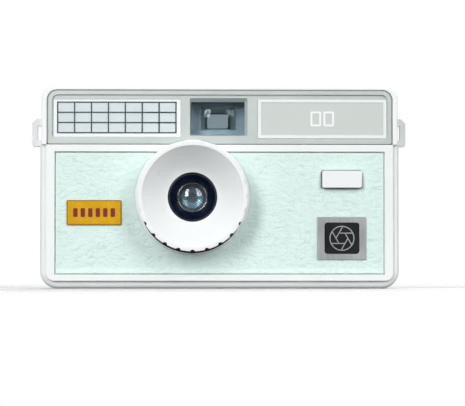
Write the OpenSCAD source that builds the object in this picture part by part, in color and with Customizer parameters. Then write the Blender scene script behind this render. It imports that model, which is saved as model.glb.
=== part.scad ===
/* Half frame 35 mm film camera with a dished lens ring and a pop-up flash.
   Millimetres. +Z is up, the front faces -Y, and the origin is on the
   resting face, in the middle of the camera's width and depth. */

/* [Body] */
// Width of the lower body
body_w = 118; // [117.6:0.1:118.4]
// Height from the resting face to the top cover
body_h = 66.3; // [66.3:0.1:66.8]
// Radius of the lower body's bottom corners
corner_r = 5.7; // [4:0.1:6]
// Wall thickness of the body shell
wall = 1.8; // [1.6:0.1:1.9]
// Rounding of the shell's front edge
edge_r = 1.8; // [1:0.1:1.8]
// Rounding of the rear edges
rear_r = 2; // [1:0.1:2.5]

/* [Front] */
// Width of the front frame
frame_w = 113.9; // [113:0.1:113.9]
// Width of the covered panel's recess
recess_w = 108.4; // [106:0.1:109]
// Gap between the covering and its recess
cover_gap = 0.35; // [0.2:0.05:0.6]
// Width of the front flash button
flash_btn_w = 13; // [10:0.5:14]
// Height of the front flash button
flash_btn_h = 5.5; // [4:0.1:6]

/* [Lens] */
// Distance of the lens axis from the middle, to the grid's side
lens_off = 9; // [8:0.1:10]
// Height of the lens axis
lens_z = 30; // [29.5:0.1:30.5]
// Outer radius of the lens ring
ring_r = 18.15; // [17:0.05:18.5]
// Depth of the lens ring in front of the frame
ring_d = 10; // [8:0.5:10]
// Number of grip notches round the lens ring
notches = 24; // [16:1:30]
// Radius of the aperture
aperture_r = 1.2; // [0.8:0.1:2]

/* [Film] */
// Width of the half frame picture
gate_w = 17; // [16:0.5:18]
// Height of the half frame picture
gate_h = 24; // [23:0.5:25]
// Radius of the film cassette chamber
cassette_r = 13.2; // [13:0.1:13.3]
// Radius of the advance wheel
wheel_r = 13.3; // [13:0.05:13.3]
// Number of ribs on the advance wheel
wheel_ribs = 48; // [24:4:60]

/* [Cell grid] */
// Columns of the cell grid
grid_cols = 7; // [4:1:9]
// Rows of the cell grid
grid_rows = 3; // [2:1:4]

/* [Hidden] */
$fn = 48;
eps = 0.01;

// Depth stations, from the front to the back.
front_y = -13;
back_y = 21;
ring_y = front_y - ring_d;
floor_y = front_y + 3;
shell_y = front_y + 1.4;
cover_y = front_y + 0.7;
door_y = 18.3;
film_y = 16;
split_z = 47.3;
door_top = 51.5;

// Front frame and its recess.
frame_z0 = 2.5;
frame_z1 = split_z - 0.05;
recess_z0 = 4.6;
recess_z1 = 44.95;
frame_r = 2.7;
collar_r = 18.7;
lens_x = -lens_off;
lens_hole_r = 9.6;
fbtn_x = 40.1;
fbtn_z = 35.8;

// Top cover and the fascia in its front.
top_w = body_w - 1;
top_r = 4;
top_in_w = 113.7;
top_in_z = body_h - 0.95;
fascia_w = 112.7;
fascia_z0 = split_z + 0.2;
fascia_z1 = top_in_z - 0.45;
fascia_y = front_y + 0.1;
fascia_floor = fascia_y + 0.7;
fascia_back = fascia_floor + 1.2;

// Windows of the fascia: [middle x, middle z, width, height].
cell_box = [-33.75, 56.0, 41.7, 12.4];
name_box = [33.7, 55.75, 42.4, 12.9];
finder_box = [-0.4, 56.4, 18.9, 12.3];
cell_pitch_x = 5.55;
cell_pitch_z = 3.35;
cell_line = 0.42;

// Film transport.
spool_x = -42;
spool_y = 9.1;
sprocket_x = -25.6;
sprocket_y = 9.95;
gear_m = 0.5;
spool_teeth = 24;
idler_teeth = 20;
// The idler stands one reach from both gears, on the front side.
reach = gear_m * (spool_teeth + idler_teeth) / 2;
span = [sprocket_x - spool_x, sprocket_y - spool_y];
half_span = norm(span) / 2;
rise = sqrt(pow(reach, 2) - pow(half_span, 2)) / norm(span);
idler_x = (spool_x + sprocket_x) / 2 + rise * span[1];
idler_y = (spool_y + sprocket_y) / 2 - rise * span[0];
gear_z = 51.6;
gear_t = 0.9;
deck_z = 50.1;
deck_t = 1.4;
base_z = 4;
takeup_r = 11.6;
well_r = 7.3;
perf_z = 14.1;
dial_x = -21;
dial_y = 1.05;
dial_z = 60.2;
dial_r = 8.2;

// Cassette side.
cass_x = 41.5;
cass_y = 6.4;
cass_wall = 1.2;
cass_left = cass_x - cassette_r - cass_wall;
cass_z0 = 8;
cass_z1 = 55.4;
hub_floor = 4.2;
hub_r = 8.8;
crank_off = 6.3;
crank_z = 0.95;

// Battery and flash.
batt_x = 19.5;
batt_y = 3.3;
batt_in = 11.4;
batt_out = 6.7;
batt_top = 48.5;
batt_hinge_y = -4.6;
head_x = 34;
head_w = 38;
head_y0 = -10.3;
head_y1 = 7.2;
head_z = 57;
guide_r = 1.2;
guides = [[17.5, -7.3], [51.6, -7.5]];
lift_spring = [21, 2];

// Release, hinge, latch and lugs.
rel_x = -42;
rel_y = -5.9;
rel_stem_r = 1.2;
rel_shelf = 59.3;
blade_reach = 6.2;
hinge_x = -57.2;
hinge_y = 19.2;
latch_z = 28;
lug_out = 62.6;
lug_y = 3;
lug_t = 3;
screws = [[-52, -6], [-9, -6.5], [52, -6.3]];

// ---- Helpers -------------------------------------------------------------

// Rounded rectangle with true arcs, centred.
module rounded(w, h, r) {
    square([w - 2 * r, h], center = true);
    square([w, h - 2 * r], center = true);
    for (sx = [-1, 1], sz = [-1, 1])
        translate([sx * (w / 2 - r), sz * (h / 2 - r)]) circle(r);
}

// Carries a drawing of the XZ plane through y0 to y1.
module slab(y0, y1) {
    translate([0, y1, 0]) rotate([90, 0, 0]) linear_extrude(y1 - y0) children();
}

// Plate facing the front: middle [x, z], size and corner radius.
module plate(x, z, w, h, r, y0, y1) {
    slab(y0, y1) translate([x, z]) rounded(w, h, r);
}

module box(x0, x1, y0, y1, z0, z1) {
    translate([x0, y0, z0]) cube([x1 - x0, y1 - y0, z1 - z0]);
}

module rod(x, y, z0, z1, r) {
    translate([x, y, z0]) cylinder(h = z1 - z0, r = r);
}

// Rod along Y at [x, z].
module rod_y(x, z, y0, y1, r) {
    translate([x, y1, z]) rotate([90, 0, 0]) cylinder(h = y1 - y0, r = r);
}

// Solid turned about the lens axis: points are [radius, depth from the frame].
module about_lens(points) {
    translate([lens_x, front_y, lens_z]) rotate([-90, 0, 0])
        rotate_extrude() polygon(points);
}

// Block whose front and rear edges are rounded over by f and b.
module soft_block(w, z0, z1, r, y0, y1, f, b) {
    steps = 6;
    side = concat(
        [[0, y0]],
        [for (i = [0 : steps]) let (a = 90 * i / steps)
            [r - f + f * sin(a), y0 + f - f * cos(a)]],
        [for (i = [0 : steps]) let (a = 90 * i / steps)
            [r - b + b * cos(a), y1 - b + b * sin(a)]],
        [[0, y1]]);
    hull() for (x = [r - w / 2, w / 2 - r], z = [z0 + r, z1 - r])
        translate([x, 0, z]) rotate([-90, 0, 0])
            rotate_extrude($fn = 40) polygon(side);
}

// Tube that stands for a coil spring.
module spring_z(x, y, z0, z1, r, wire) {
    difference() {
        rod(x, y, z0, z1, r);
        rod(x, y, z0 - 1, z1 + 1, r - wire);
    }
}

// Involute gear outline, tooth 0 centred on +X.
function involute(a) = tan(a) * 180 / PI - a;
function gear_points(z, m, slack = 0.1) =
    let (
        rp = m * z / 2,
        rb = rp * cos(20),
        ro = rp + 0.85 * m,
        rr = rp - 1.25 * m,
        half = 90 / z - slack / rp * 90 / PI + involute(20),
        lo = max(rb, rr),
        steps = 4
    )
    [for (i = [0 : z - 1]) each [
        rr * [cos(i * 360 / z - half), sin(i * 360 / z - half)],
        for (k = [0 : steps]) let (r = lo + (ro - lo) * k / steps,
            a = i * 360 / z - half + involute(acos(rb / r))) r * [cos(a), sin(a)],
        for (k = [steps : -1 : 0]) let (r = lo + (ro - lo) * k / steps,
            a = i * 360 / z + half - involute(acos(rb / r))) r * [cos(a), sin(a)],
        rr * [cos(i * 360 / z + half), sin(i * 360 / z + half)]
    ]];

module gear(x, y, z0, t, teeth, turn) {
    translate([x, y, z0]) rotate([0, 0, turn])
        linear_extrude(t) polygon(gear_points(teeth, gear_m));
}

mesh_a = atan2(idler_y - spool_y, idler_x - spool_x);
idler_turn = mesh_a + 180 + 180 / idler_teeth;
mesh_b = atan2(sprocket_y - idler_y, sprocket_x - idler_x);
sprocket_turn = mesh_b + 180 - (idler_turn - mesh_b) * idler_teeth / spool_teeth
    + 180 / spool_teeth;

// ---- Shells and front ----------------------------------------------------

// Barrels that stay with the body on the door's hinge.
module hinge_barrels() {
    for (k = [[-1, 9.7], [42.1, 60]]) {
        rod(hinge_x, hinge_y, k[0], k[1], 1.75);
        box(hinge_x - 3, hinge_x + 0.2, 16.9, hinge_y, k[0], k[1]);
    }
}

module body_shell() {
    inner = body_w - 2 * wall;
    color("whitesmoke") difference() {
        soft_block(body_w, 0, 70, corner_r, shell_y, back_y, edge_r, rear_r);
        box(-70, 70, shell_y - 1, 40, split_z, 80);
        // Inside of the shell and its open back, round the hinge barrels.
        difference() {
            union() {
                slab(floor_y + 0.2, 40) translate([0, 40 + wall]) rounded(inner, 80, 3);
                box(-70, 70, door_y - 0.1, 40, -1, 80);
            }
            hinge_barrels();
        }
        // Corner left free for the door's own barrel, and the pin's bore.
        box(-60, hinge_x + 2.2, 16.9, 30, 9.7, 42.1);
        rod(hinge_x, hinge_y, 3, 60, 0.85);
        // Seat of the front frame.
        slab(-30, floor_y + 1) translate([0, 30 + frame_z0 - 0.05])
            rounded(frame_w + 0.1, 60, frame_r);
        // Rewind recess, battery door, rewind release.
        rod(cass_x, cass_y, -1, 3, hub_r + 0.4);
        box(batt_x - 7.1, batt_x + 7.1, batt_hinge_y - 1, 10.6, -1, 3);
        translate([0, batt_hinge_y, 1]) rotate([0, 90, 0])
            translate([0, 0, batt_x - 7.7]) cylinder(h = 15.4, r = 0.55);
        rod(sprocket_x, sprocket_y, -1, 3, 2.9);
        for (s = screws) {
            rod(s[0], s[1], -1, 3, 1.1);
            rod(s[0], s[1], -1, 1, 2.2);
        }
        // Latch pocket and slot in the right wall.
        box(body_w / 2 - 0.95, 60, 8, 16, latch_z - 8.5, latch_z + 4.5);
        box(56, 60, 10.9, 13.1, latch_z - 6, latch_z + 2.2);
    }
}

module front_frame() {
    zc = (frame_z0 + frame_z1) / 2;
    color("white") difference() {
        union() {
            plate(0, zc, frame_w, frame_z1 - frame_z0, frame_r, front_y, floor_y);
            // The upper corners are nearly square.
            box(-frame_w / 2, frame_w / 2, front_y, floor_y, 30, frame_z1);
        }
        difference() {
            box(-recess_w / 2, recess_w / 2, front_y - 1, shell_y, recess_z0, recess_z1);
            rod_y(lens_x, lens_z, front_y - 2, shell_y + 1, collar_r);
        }
        rod_y(lens_x, lens_z, -30, 0, lens_hole_r);
        plate(fbtn_x, fbtn_z, flash_btn_w + 0.5, flash_btn_h + 0.5, 0.8, -30, 0);
    }
}

module leatherette() {
    g = cover_gap;
    color("paleturquoise") difference() {
        box(-recess_w / 2 + g, recess_w / 2 - g, cover_y, shell_y, recess_z0 + g, recess_z1 - g);
        rod_y(lens_x, lens_z, -30, 0, collar_r + 0.2);
        plate(fbtn_x, fbtn_z, flash_btn_w + 1, flash_btn_h + 1, 1, -30, 0);
    }
}

module colour_badge() {
    color("goldenrod") plate(-41.25, 24.9, 18, 8.2, 0.4, cover_y - 0.5, cover_y);
}

module emblem_plate() {
    color("silver") difference() {
        plate(40.05, 16.5, 16.1, 14.1, 0.3, cover_y - 0.5, cover_y);
        plate(40.1, 16.5, 11.5, 10.3, 1, -30, cover_y - 0.25);
    }
}

module top_cover() {
    color("white") difference() {
        soft_block(top_w, 20, body_h, top_r, front_y, back_y, 0.5, rear_r);
        box(-70, 70, -40, 40, 0, split_z);
        // Inside, open below and in front, and the door's upper edge.
        difference() {
            union() {
                slab(front_y - 1, back_y - 1.6) translate([0, top_in_z - 30])
                    rounded(top_in_w, 60, 3.4);
                box(-70, 70, door_y - 0.1, 40, 0, door_top + 0.3);
            }
            intersection() {
                hinge_barrels();
                box(-70, 0, 0, 40, 0, door_top + 1);
            }
        }
        // Flash well, shutter button, counter window.
        translate([head_x, (head_y0 + head_y1) / 2, 60]) linear_extrude(10)
            rounded(head_w + 0.6, head_y1 - head_y0 + 0.6, 1.6);
        rod(rel_x, rel_y, 60, 70, 4.75);
        rod(dial_x, dial_y + 6, 60, 70, 2.6);
        // Wheel slot, eyepiece, ready lamp.
        box(spool_x - 8.8, spool_x + 8.8, 15, 30, 52.2, 58.4);
        plate(finder_box[0], finder_box[1], 14, 10, 1, 15, 30);
        rod_y(14, 57, 15, 30, 1.55);
        // Slots for the lug tongues.
        box(-70, 70, lug_y + 0.4, lug_y + lug_t - 0.4, 49.4, 54.6);
    }
    // Post that carries the counter dial.
    color("white") {
        rod(dial_x, dial_y, dial_z + 1.35, top_in_z + 0.3, 1.6);
        rod(dial_x, dial_y, dial_z - 0.4, dial_z + 1.4, 0.8);
    }
}

module fascia() {
    zc = (fascia_z0 + fascia_z1) / 2;
    h = fascia_z1 - fascia_z0;
    color("lightgray") difference() {
        union() {
            plate(0, zc, fascia_w, h, 3, fascia_y, fascia_back);
            box(-fascia_w / 2, fascia_w / 2, fascia_y, fascia_back, fascia_z0, zc);
        }
        plate(0, zc, fascia_w - 2.4, h - 2.4, 2, -30, fascia_floor);
        for (b = [cell_box, name_box])
            plate(b[0], b[1], b[2] + 0.1, b[3] + 0.1, 0.3, -30, fascia_floor + 0.6);
        plate(finder_box[0], finder_box[1], finder_box[2], finder_box[3], 0.4, -30, 0);
        // Relief over the top of the lens collar.
        rod_y(lens_x, lens_z, -30, 0, collar_r + 0.2);
    }
}

// Plate with the raised lines of the grid.
module cell_plate() {
    b = cell_box;
    w = grid_cols * cell_pitch_x;
    h = grid_rows * cell_pitch_z;
    color("gainsboro")
        plate(b[0], b[1], b[2], b[3], 0.25, fascia_floor + 0.2, fascia_floor + 0.6);
    color("dimgray") slab(fascia_floor + 0.05, fascia_floor + 0.25)
        translate([b[0] - 0.1, b[1] + 0.2]) {
            for (i = [0 : grid_cols])
                translate([-w / 2 + i * cell_pitch_x, 0])
                    square([cell_line, h + cell_line], center = true);
            for (i = [0 : grid_rows])
                translate([0, -h / 2 + i * cell_pitch_z])
                    square([w + cell_line, cell_line], center = true);
        }
}

module cell_window() {
    b = cell_box;
    color("white", 0.35)
        plate(b[0], b[1], b[2], b[3], 0.25, fascia_floor - 0.3, fascia_floor + 0.05);
}

module nameplate() {
    b = name_box;
    color("gainsboro") difference() {
        plate(b[0], b[1], b[2], b[3], 0.25, fascia_floor - 0.3, fascia_floor + 0.6);
        plate(b[0], b[1], b[2] - 2.1, b[3] - 2.1, 0.2, -30, fascia_floor - 0.1);
    }
}

// ---- Viewfinder ----------------------------------------------------------

module finder_window() {
    b = finder_box;
    color("lightblue", 0.35)
        plate(b[0], b[1], b[2] - 0.1, b[3] - 0.1, 0.35, fascia_floor + 0.1, fascia_back);
}

module finder_housing() {
    b = finder_box;
    y1 = -3;
    y2 = back_y - 1.7;
    color("dimgray") difference() {
        union() {
            plate(b[0], b[1], b[2] + 2, b[3] + 2, 0.8, fascia_back + 0.05, y1);
            plate(b[0], b[1], 14, 9.6, 0.6, y1 - 0.5, y2);
        }
        plate(b[0], b[1], b[2], b[3], 0.4, -30, y1 - 1);
        plate(b[0], b[1], 12.2, 8, 0.4, -30, 30);
    }
}

module finder_front_lens() {
    b = finder_box;
    color("lightblue", 0.35) difference() {
        plate(b[0], b[1], b[2] - 0.1, b[3] - 0.1, 0.3, -8, -5.2);
        translate([b[0], -6.6 + 26, b[1]]) sphere(r = 26, $fn = 160);
    }
}

module finder_rear_lens() {
    b = finder_box;
    color("lightblue", 0.35) intersection() {
        plate(b[0], b[1], 12.1, 7.9, 0.3, 15, 18.6);
        translate([b[0], 15.4 + 24, b[1]]) sphere(r = 24, $fn = 160);
    }
}

module eyepiece() {
    b = finder_box;
    color("dimgray") difference() {
        union() {
            plate(b[0], b[1], 17, 12.6, 2.2, back_y, back_y + 2);
            plate(b[0], b[1], 13.8, 9.8, 0.9, back_y - 1.65, back_y + 0.5);
        }
        plate(b[0], b[1], 10, 6.8, 0.8, 10, 30);
    }
}

// ---- Taking lens and shutter ---------------------------------------------

module lens_ring() {
    d = ring_d;
    color("white") difference() {
        about_lens([
            [8.25, 0], [8.25, -0.7], [16.5, -d + 0.15], [16.65, -d],
            [ring_r - 0.3, -d], [ring_r, -d + 0.3], [ring_r, -d + 5], [ring_r - 0.45, -d + 5.4],
            [ring_r - 0.45, 0], [ring_r - 1.9, 0], [ring_r - 1.9, -d + 2.6],
            [10.6, -1.9], [10.6, 0]
        ]);
        for (i = [0 : notches - 1])
            translate([lens_x, 0, lens_z]) rotate([0, i * 360 / notches, 0])
                rod_y(0, ring_r + 0.35, ring_y - 1, ring_y + 4.4, 0.8);
    }
}

module lens_retainer() {
    color("black") about_lens([
        [4.9, 3.9], [4.9, 4.4], [8.1, 4.4], [8.1, -0.4], [7.8, -0.6], [7.4, -0.4]
    ]);
}

module taking_lens() {
    color("lightblue", 0.35) translate([lens_x, 0, lens_z]) difference() {
        intersection() {
            rod_y(0, 0, -11, -6.8, 4.98);
            translate([0, -9.9 + 9, 0]) sphere(r = 9);
            rod_y(0, 0, -9.95, -6.8, 4.98);
        }
        translate([0, -7.4 + 16, 0]) sphere(r = 16);
    }
}

module lens_barrel() {
    color("black") difference() {
        about_lens([
            [5.02, 4.42], [5.02, 6.2], [3.2, 6.2], [3.2, 8], [8.5, 8], [8.5, 9.8],
            [9.4, 9.8], [9.4, 4.42]
        ]);
        // Opening for the shutter blade's tail.
        box(lens_x - 10, lens_x - 8, -4.9, -3, lens_z - 3.6, lens_z + 1.2);
    }
}

module aperture_plate() {
    color("dimgray") difference() {
        rod_y(lens_x, lens_z, front_y + 8.02, front_y + 8.22, 8.4);
        rod_y(lens_x, lens_z, -30, 30, aperture_r);
        rod_y(lens_x - blade_reach, lens_z, -30, 30, 1);
    }
}

module shutter_blade() {
    y0 = front_y + 8.7;
    color("darkslategray") translate([lens_x - blade_reach, 0, lens_z]) difference() {
        slab(y0, y0 + 0.25) {
            circle(1.5);
            translate([0, -1.3]) square([blade_reach, 2.6]);
            translate([blade_reach, 0]) circle(2.3);
            translate([-4.6, -0.6]) square([4.6, 1.2]);
        }
        rod_y(0, 0, -30, 30, 0.75);
    }
}

module release_bar() {
    color("dimgray") {
        box(rel_x - 1.4, -18.6, -5.4, -4, 46, 48);
        box(-20.2, -18.6, -5.2, -3.8, lens_z + 0.7, 46.5);
    }
}

module shutter_button() {
    color("gainsboro") {
        difference() {
            rod(rel_x, rel_y, 65.1, body_h + 0.3, 4.5);
            translate([rel_x, rel_y, body_h + 0.3 + 17.6]) sphere(r = 18, $fn = 96);
        }
        rod(rel_x, rel_y, 64.3, 65.15, 5);
        rod(rel_x, rel_y, 48, 64.4, rel_stem_r);
    }
}

module shutter_spring() {
    color("silver") spring_z(rel_x, rel_y, rel_shelf, 64.3, 2.2, 0.4);
}

// ---- Chassis -------------------------------------------------------------

// Outer form of the light box, which the chassis leaves free.
module light_box_block() {
    box(lens_x - gate_w / 2 - 1.2, lens_x + gate_w / 2 + 1.2, -3.2, 13.4,
        lens_z - gate_h / 2 - 1.2, lens_z + gate_h / 2 + 1.2);
}

module chassis_solids() {
    // Take-up chamber and the sprocket's well.
    rod(spool_x, spool_y, base_z, deck_z + deck_t, takeup_r + 1.2);
    box(spool_x - takeup_r - 1.2, sprocket_x, spool_y, 18, base_z, deck_z + deck_t);
    rod(sprocket_x, sprocket_y, base_z, deck_z + deck_t, 8.5);
    // Film deck with its rails.
    box(-33, cass_left, 13.4, 15.6, base_z, deck_z + deck_t);
    for (z = [lens_z - 16.4, lens_z + 13.4])
        box(lens_x - 13.5, lens_x + 30.5, 15.5, film_y, z, z + 3);
    // Decks above and below the film.
    box(-55.6, cass_left, -9.4, 18, base_z, base_z + deck_t);
    box(-55.6, -12, -9.4, 18, deck_z, deck_z + deck_t);
    box(-12.5, 12, -2.4, 18, deck_z, deck_z + deck_t);
    box(11.5, cass_left, 9, 18, deck_z, deck_z + deck_t);
    // Shelf under the shutter spring.
    box(rel_x - 4, rel_x + 4, -9.4, -8.4, deck_z, rel_shelf);
    box(rel_x - 4, rel_x + 4, -9.4, -3.4, rel_shelf - 1, rel_shelf);
    // Screw bosses and the idler's pin.
    for (k = [0, 1]) rod(screws[k][0], screws[k][1], 1.85, 12, 2.3);
    rod(idler_x, idler_y, deck_z, gear_z + gear_t - 0.05, 1);
}

module chassis() {
    color("darkslategray") difference() {
        chassis_solids();
        // Take-up room, open to the rear and to the sprocket.
        rod(spool_x, spool_y, base_z + deck_t, deck_z, takeup_r);
        box(spool_x - takeup_r, sprocket_x, spool_y, 20, base_z + deck_t, deck_z);
        rod(sprocket_x, sprocket_y, base_z + deck_t, deck_z, well_r);
        box(spool_x - takeup_r, sprocket_x + 8, 15.6, 20, 11.5, 48.5);
        rod(spool_x, spool_y, 0, 60, 2.06);
        rod(sprocket_x, sprocket_y, 0, 60, 1.56);
        // Room for the door, the light box, the battery box and the gate.
        box(-70, 70, 18, 40, 0, 60);
        light_box_block();
        box(batt_x - batt_out, batt_x + batt_out, batt_y - batt_out, batt_y + batt_out, 0, 50);
        box(lens_x - gate_w / 2, lens_x + gate_w / 2, 10, 20,
            lens_z - gate_h / 2, lens_z + gate_h / 2);
        for (k = [0, 1]) rod(screws[k][0], screws[k][1], 0, 11, 1);
        // Release stem.
        rod(rel_x, rel_y, 40, 60, rel_stem_r + 0.06);
    }
}

module light_box() {
    color("darkslategray") difference() {
        union() {
            light_box_block();
            // Shutter pivot.
            rod_y(lens_x - blade_reach, lens_z, -4.75, -3, 0.7);
        }
        // Light path and shutter hole.
        box(lens_x - gate_w / 2, lens_x + gate_w / 2, -2, 20,
            lens_z - gate_h / 2, lens_z + gate_h / 2);
        rod_y(lens_x, lens_z, -10, 0, 3.5);
        rod(sprocket_x, sprocket_y, 0, 60, well_r);
    }
}

module cassette_chamber() {
    outer = cassette_r + cass_wall;
    color("darkslategray") difference() {
        union() {
            rod(cass_x, cass_y, 3.2, cass_z1 + 1.2, outer);
            box(cass_left, cass_x + outer, cass_y, 18, 3.2, cass_z1 + 1.2);
            // Foot with the screw boss.
            box(cass_x + 5, cass_x + outer, -8.6, cass_y, base_z, base_z + deck_t);
            rod(screws[2][0], screws[2][1], 1.85, 12, 2.3);
            // Sleeve for the right guide post, on its web.
            rod(guides[1][0], guides[1][1], 43, 56, 2.2);
            translate([guides[1][0], guides[1][1], 43]) rotate([0, 0, 126])
                translate([0, -1.2, 0]) cube([5, 2.4, 13]);
            // Seat of the front button's spring.
            rod_y(34, fbtn_z, -7, -4.2, 2.2);
        }
        // Can, hub pocket open to the rear, shaft.
        rod(cass_x, cass_y, cass_z0, cass_z1, cassette_r);
        box(cass_x - cassette_r, cass_x + cassette_r, cass_y, 20, cass_z0, cass_z1);
        rod(cass_x, cass_y, hub_floor, cass_z0 + 1, 6.6);
        box(cass_x - 6.6, cass_x + 6.6, cass_y, 20, hub_floor, cass_z0 + 1);
        rod(cass_x, cass_y, 0, 6, 2.05);
        // Film slot onto the deck, and room for the door.
        box(cass_left - 1, cass_x, 15.6, 20, 11.5, 48.5);
        box(-70, 70, 18, 40, 0, 60);
        rod(guides[1][0], guides[1][1], 40, 60, guide_r + 0.06);
        rod(screws[2][0], screws[2][1], 0, 11, 1);
    }
}

module battery_box() {
    color("darkslategray") difference() {
        union() {
            box(batt_x - batt_out, batt_x + batt_out, batt_y - batt_out, batt_y + batt_out,
                1.95, batt_top + 1);
            // Web against the cassette chamber.
            box(batt_x + batt_out - 0.1, cass_left, 7, batt_y + batt_out,
                base_z + deck_t, batt_top + 1);
            // Pegs for the circuit board.
            for (z = [11, 37]) {
                rod_y(10, z, -7.4, -1.4, 1.4);
                box(10, 13.5, -2.9, -1.4, z - 1.4, z + 1.4);
            }
            // Sleeve for the left guide post, on its web.
            rod(guides[0][0], guides[0][1], 43, 56, 2.2);
            box(16.2, 18.8, -7, -3, 43, 48.5);
        }
        box(batt_x - batt_in / 2, batt_x + batt_in / 2,
            batt_y - batt_in / 2, batt_y + batt_in / 2, 0, batt_top);
        rod(guides[0][0], guides[0][1], 40, 60, guide_r + 0.06);
    }
}

// ---- Small fixed parts ---------------------------------------------------

module counter_window() {
    color("lightblue", 0.35) rod(dial_x, dial_y + 6, top_in_z, body_h - 0.05, 2.55);
}

module ready_lamp() {
    color("orange") {
        rod_y(14, 57, back_y - 3.4, back_y + 0.2, 1.5);
        rod_y(14, 57, back_y - 3.8, back_y - 2.2, 1.9);
    }
}

module circuit_board() {
    color("seagreen") difference() {
        box(3, 26.4, -8.6, -7.4, 6, 42);
        for (z = [11, 37]) rod_y(10, z, -10, -6, 0.8);
    }
    color("dimgray") {
        box(15, 23, -7.45, -3.8, 20, 28);
        rod_y(21, 36, -7.45, -4, 2);
        box(5, 8, -7.45, -5.4, 20, 30);
    }
}

module flash_capacitor() {
    color("midnightblue") rod(6.6, 3.2, 8, 38, 4);
    color("silver") for (x = [5.4, 7.8]) rod(x, 3.2, 5.6, 8.1, 0.3);
}

module battery_contact() {
    color("silver") {
        box(batt_x - 4, batt_x + 4, batt_y - 4, batt_y + 4, batt_top - 0.3, batt_top);
        rod(batt_x, batt_y, batt_top - 0.9, batt_top - 0.2, 1.6);
    }
}

module strap_lugs() {
    side = top_w / 2;
    color("whitesmoke") for (s = [-1, 1]) scale([s, 1, 1]) difference() {
        union() {
            slab(lug_y, lug_y + lug_t) polygon([
                [side, 47.5], [lug_out - 0.4, 47.5], [lug_out, 47.9], [lug_out, 55.3],
                [lug_out - 1.5, 56.8], [side, 56.8]
            ]);
            box(top_in_w / 2 - 0.1, side + 0.1, lug_y + 0.5, lug_y + lug_t - 0.5, 49.5, 54.5);
            box(top_in_w / 2 - 0.85, top_in_w / 2 - 0.05, lug_y - 0.2, lug_y + lug_t - 0.1, 48.5, 55.5);
        }
        box(side, lug_out - 1.85, -10, 20, 49.6, 54.4);
    }
}

module body_screws() {
    color("silver") for (s = screws) {
        rod(s[0], s[1], 0.15, 1, 2);
        rod(s[0], s[1], 0.9, 9, 0.95);
    }
}

module hinge_pin() {
    color("silver") rod(hinge_x, hinge_y, 3.1, 46.8, 0.8);
}

// ---- Flash ---------------------------------------------------------------

module flash_button() {
    color("white") {
        plate(fbtn_x, fbtn_z, flash_btn_w, flash_btn_h, 0.6, front_y - 1.5, floor_y + 0.1);
        plate(fbtn_x, fbtn_z, 15.6, 8, 0.6, floor_y + 0.1, floor_y + 0.7);
        // Catch arm that reaches up beside the flash tongue.
        box(27.2, 33, floor_y + 0.1, floor_y + 0.7, 34, 37);
        box(27.2, 29.2, floor_y + 0.1, floor_y + 0.7, 34, 53);
    }
}

module flash_button_spring() {
    color("silver") difference() {
        rod_y(34, fbtn_z, floor_y + 0.7, -7, 1.7);
        rod_y(34, fbtn_z, -20, 0, 1.3);
    }
}

module flash_cap() {
    color("white") translate([head_x, (head_y0 + head_y1) / 2, 64.9])
        linear_extrude(body_h - 64.9) rounded(head_w, head_y1 - head_y0, 1.3);
}

module flash_housing() {
    x0 = head_x - head_w / 2 + 0.4;
    x1 = head_x + head_w / 2 - 0.4;
    color("whitesmoke") difference() {
        union() {
            box(x0, x1, head_y0 + 0.4, head_y1 - 0.4, head_z, 64.9);
            // Tongue beside the catch, and the two guide posts.
            box(29.4, 33, -9.2, -8.4, 49, head_z + 0.5);
            for (g = guides) rod(g[0], g[1], 44, head_z + 0.5, guide_r);
        }
        box(x0 + 1, x1 - 1, -20, head_y1 - 1.4, head_z + 1, 64.9 + eps);
    }
}

module flash_reflector() {
    color("silver") difference() {
        box(head_x - 15.5, head_x + 15.5, -9, -2.2, 58.1, 64.6);
        hull() {
            translate([head_x - 14.7, -5.4, 61.35]) rotate([0, 90, 0])
                cylinder(h = 29.4, r = 2, $fn = 32);
            box(head_x - 14.7, head_x + 14.7, -9.3, -9.1, 58.6, 64.1);
        }
    }
}

module flash_tube() {
    color("white", 0.35) translate([head_x - 13, -5.4, 61.35]) rotate([0, 90, 0])
        cylinder(h = 26, r = 1.1);
    color("silver") translate([head_x - 14.6, -5.4, 61.35]) rotate([0, 90, 0])
        cylinder(h = 29.2, r = 0.4);
}

module flash_diffuser() {
    color("white", 0.35) box(head_x - 17.4, head_x + 17.4, -9.8, -9.05, 58.05, 64.85);
}

module flash_lift_spring() {
    color("silver")
        spring_z(lift_spring[0], lift_spring[1], batt_top + 1, head_z, 2.2, 0.5);
}

// ---- Film transport ------------------------------------------------------

module takeup_spool() {
    color("dimgray") {
        difference() {
            rod(spool_x, spool_y, 5.8, 49.7, 5);
            for (a = [0, 90]) translate([spool_x, spool_y, 12]) rotate([0, 0, a])
                translate([-6, -0.45, 0]) cube([12, 0.9, 34]);
        }
        for (z = [5.7, 48.9]) rod(spool_x, spool_y, z, z + 0.9, 9.9);
        rod(spool_x, spool_y, base_z + 0.2, 58.6, 2);
    }
}

module advance_wheel() {
    z0 = gear_z + gear_t + 0.1;
    color("white") difference() {
        union() {
            rod(spool_x, spool_y, z0, 58, wheel_r);
            gear(spool_x, spool_y, gear_z, gear_t + 0.2, spool_teeth, mesh_a);
        }
        for (i = [0 : wheel_ribs - 1])
            translate([spool_x, spool_y, z0 - 1]) rotate([0, 0, i * 360 / wheel_ribs])
                translate([wheel_r + 0.15, 0, 0]) cylinder(h = 10, r = 0.45);
        rod(spool_x, spool_y, 50, 60, 2.02);
    }
}

module idler_gear() {
    color("whitesmoke") difference() {
        gear(idler_x, idler_y, gear_z, gear_t, idler_teeth, idler_turn);
        rod(idler_x, idler_y, 50, 60, 1.05);
    }
}

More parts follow.
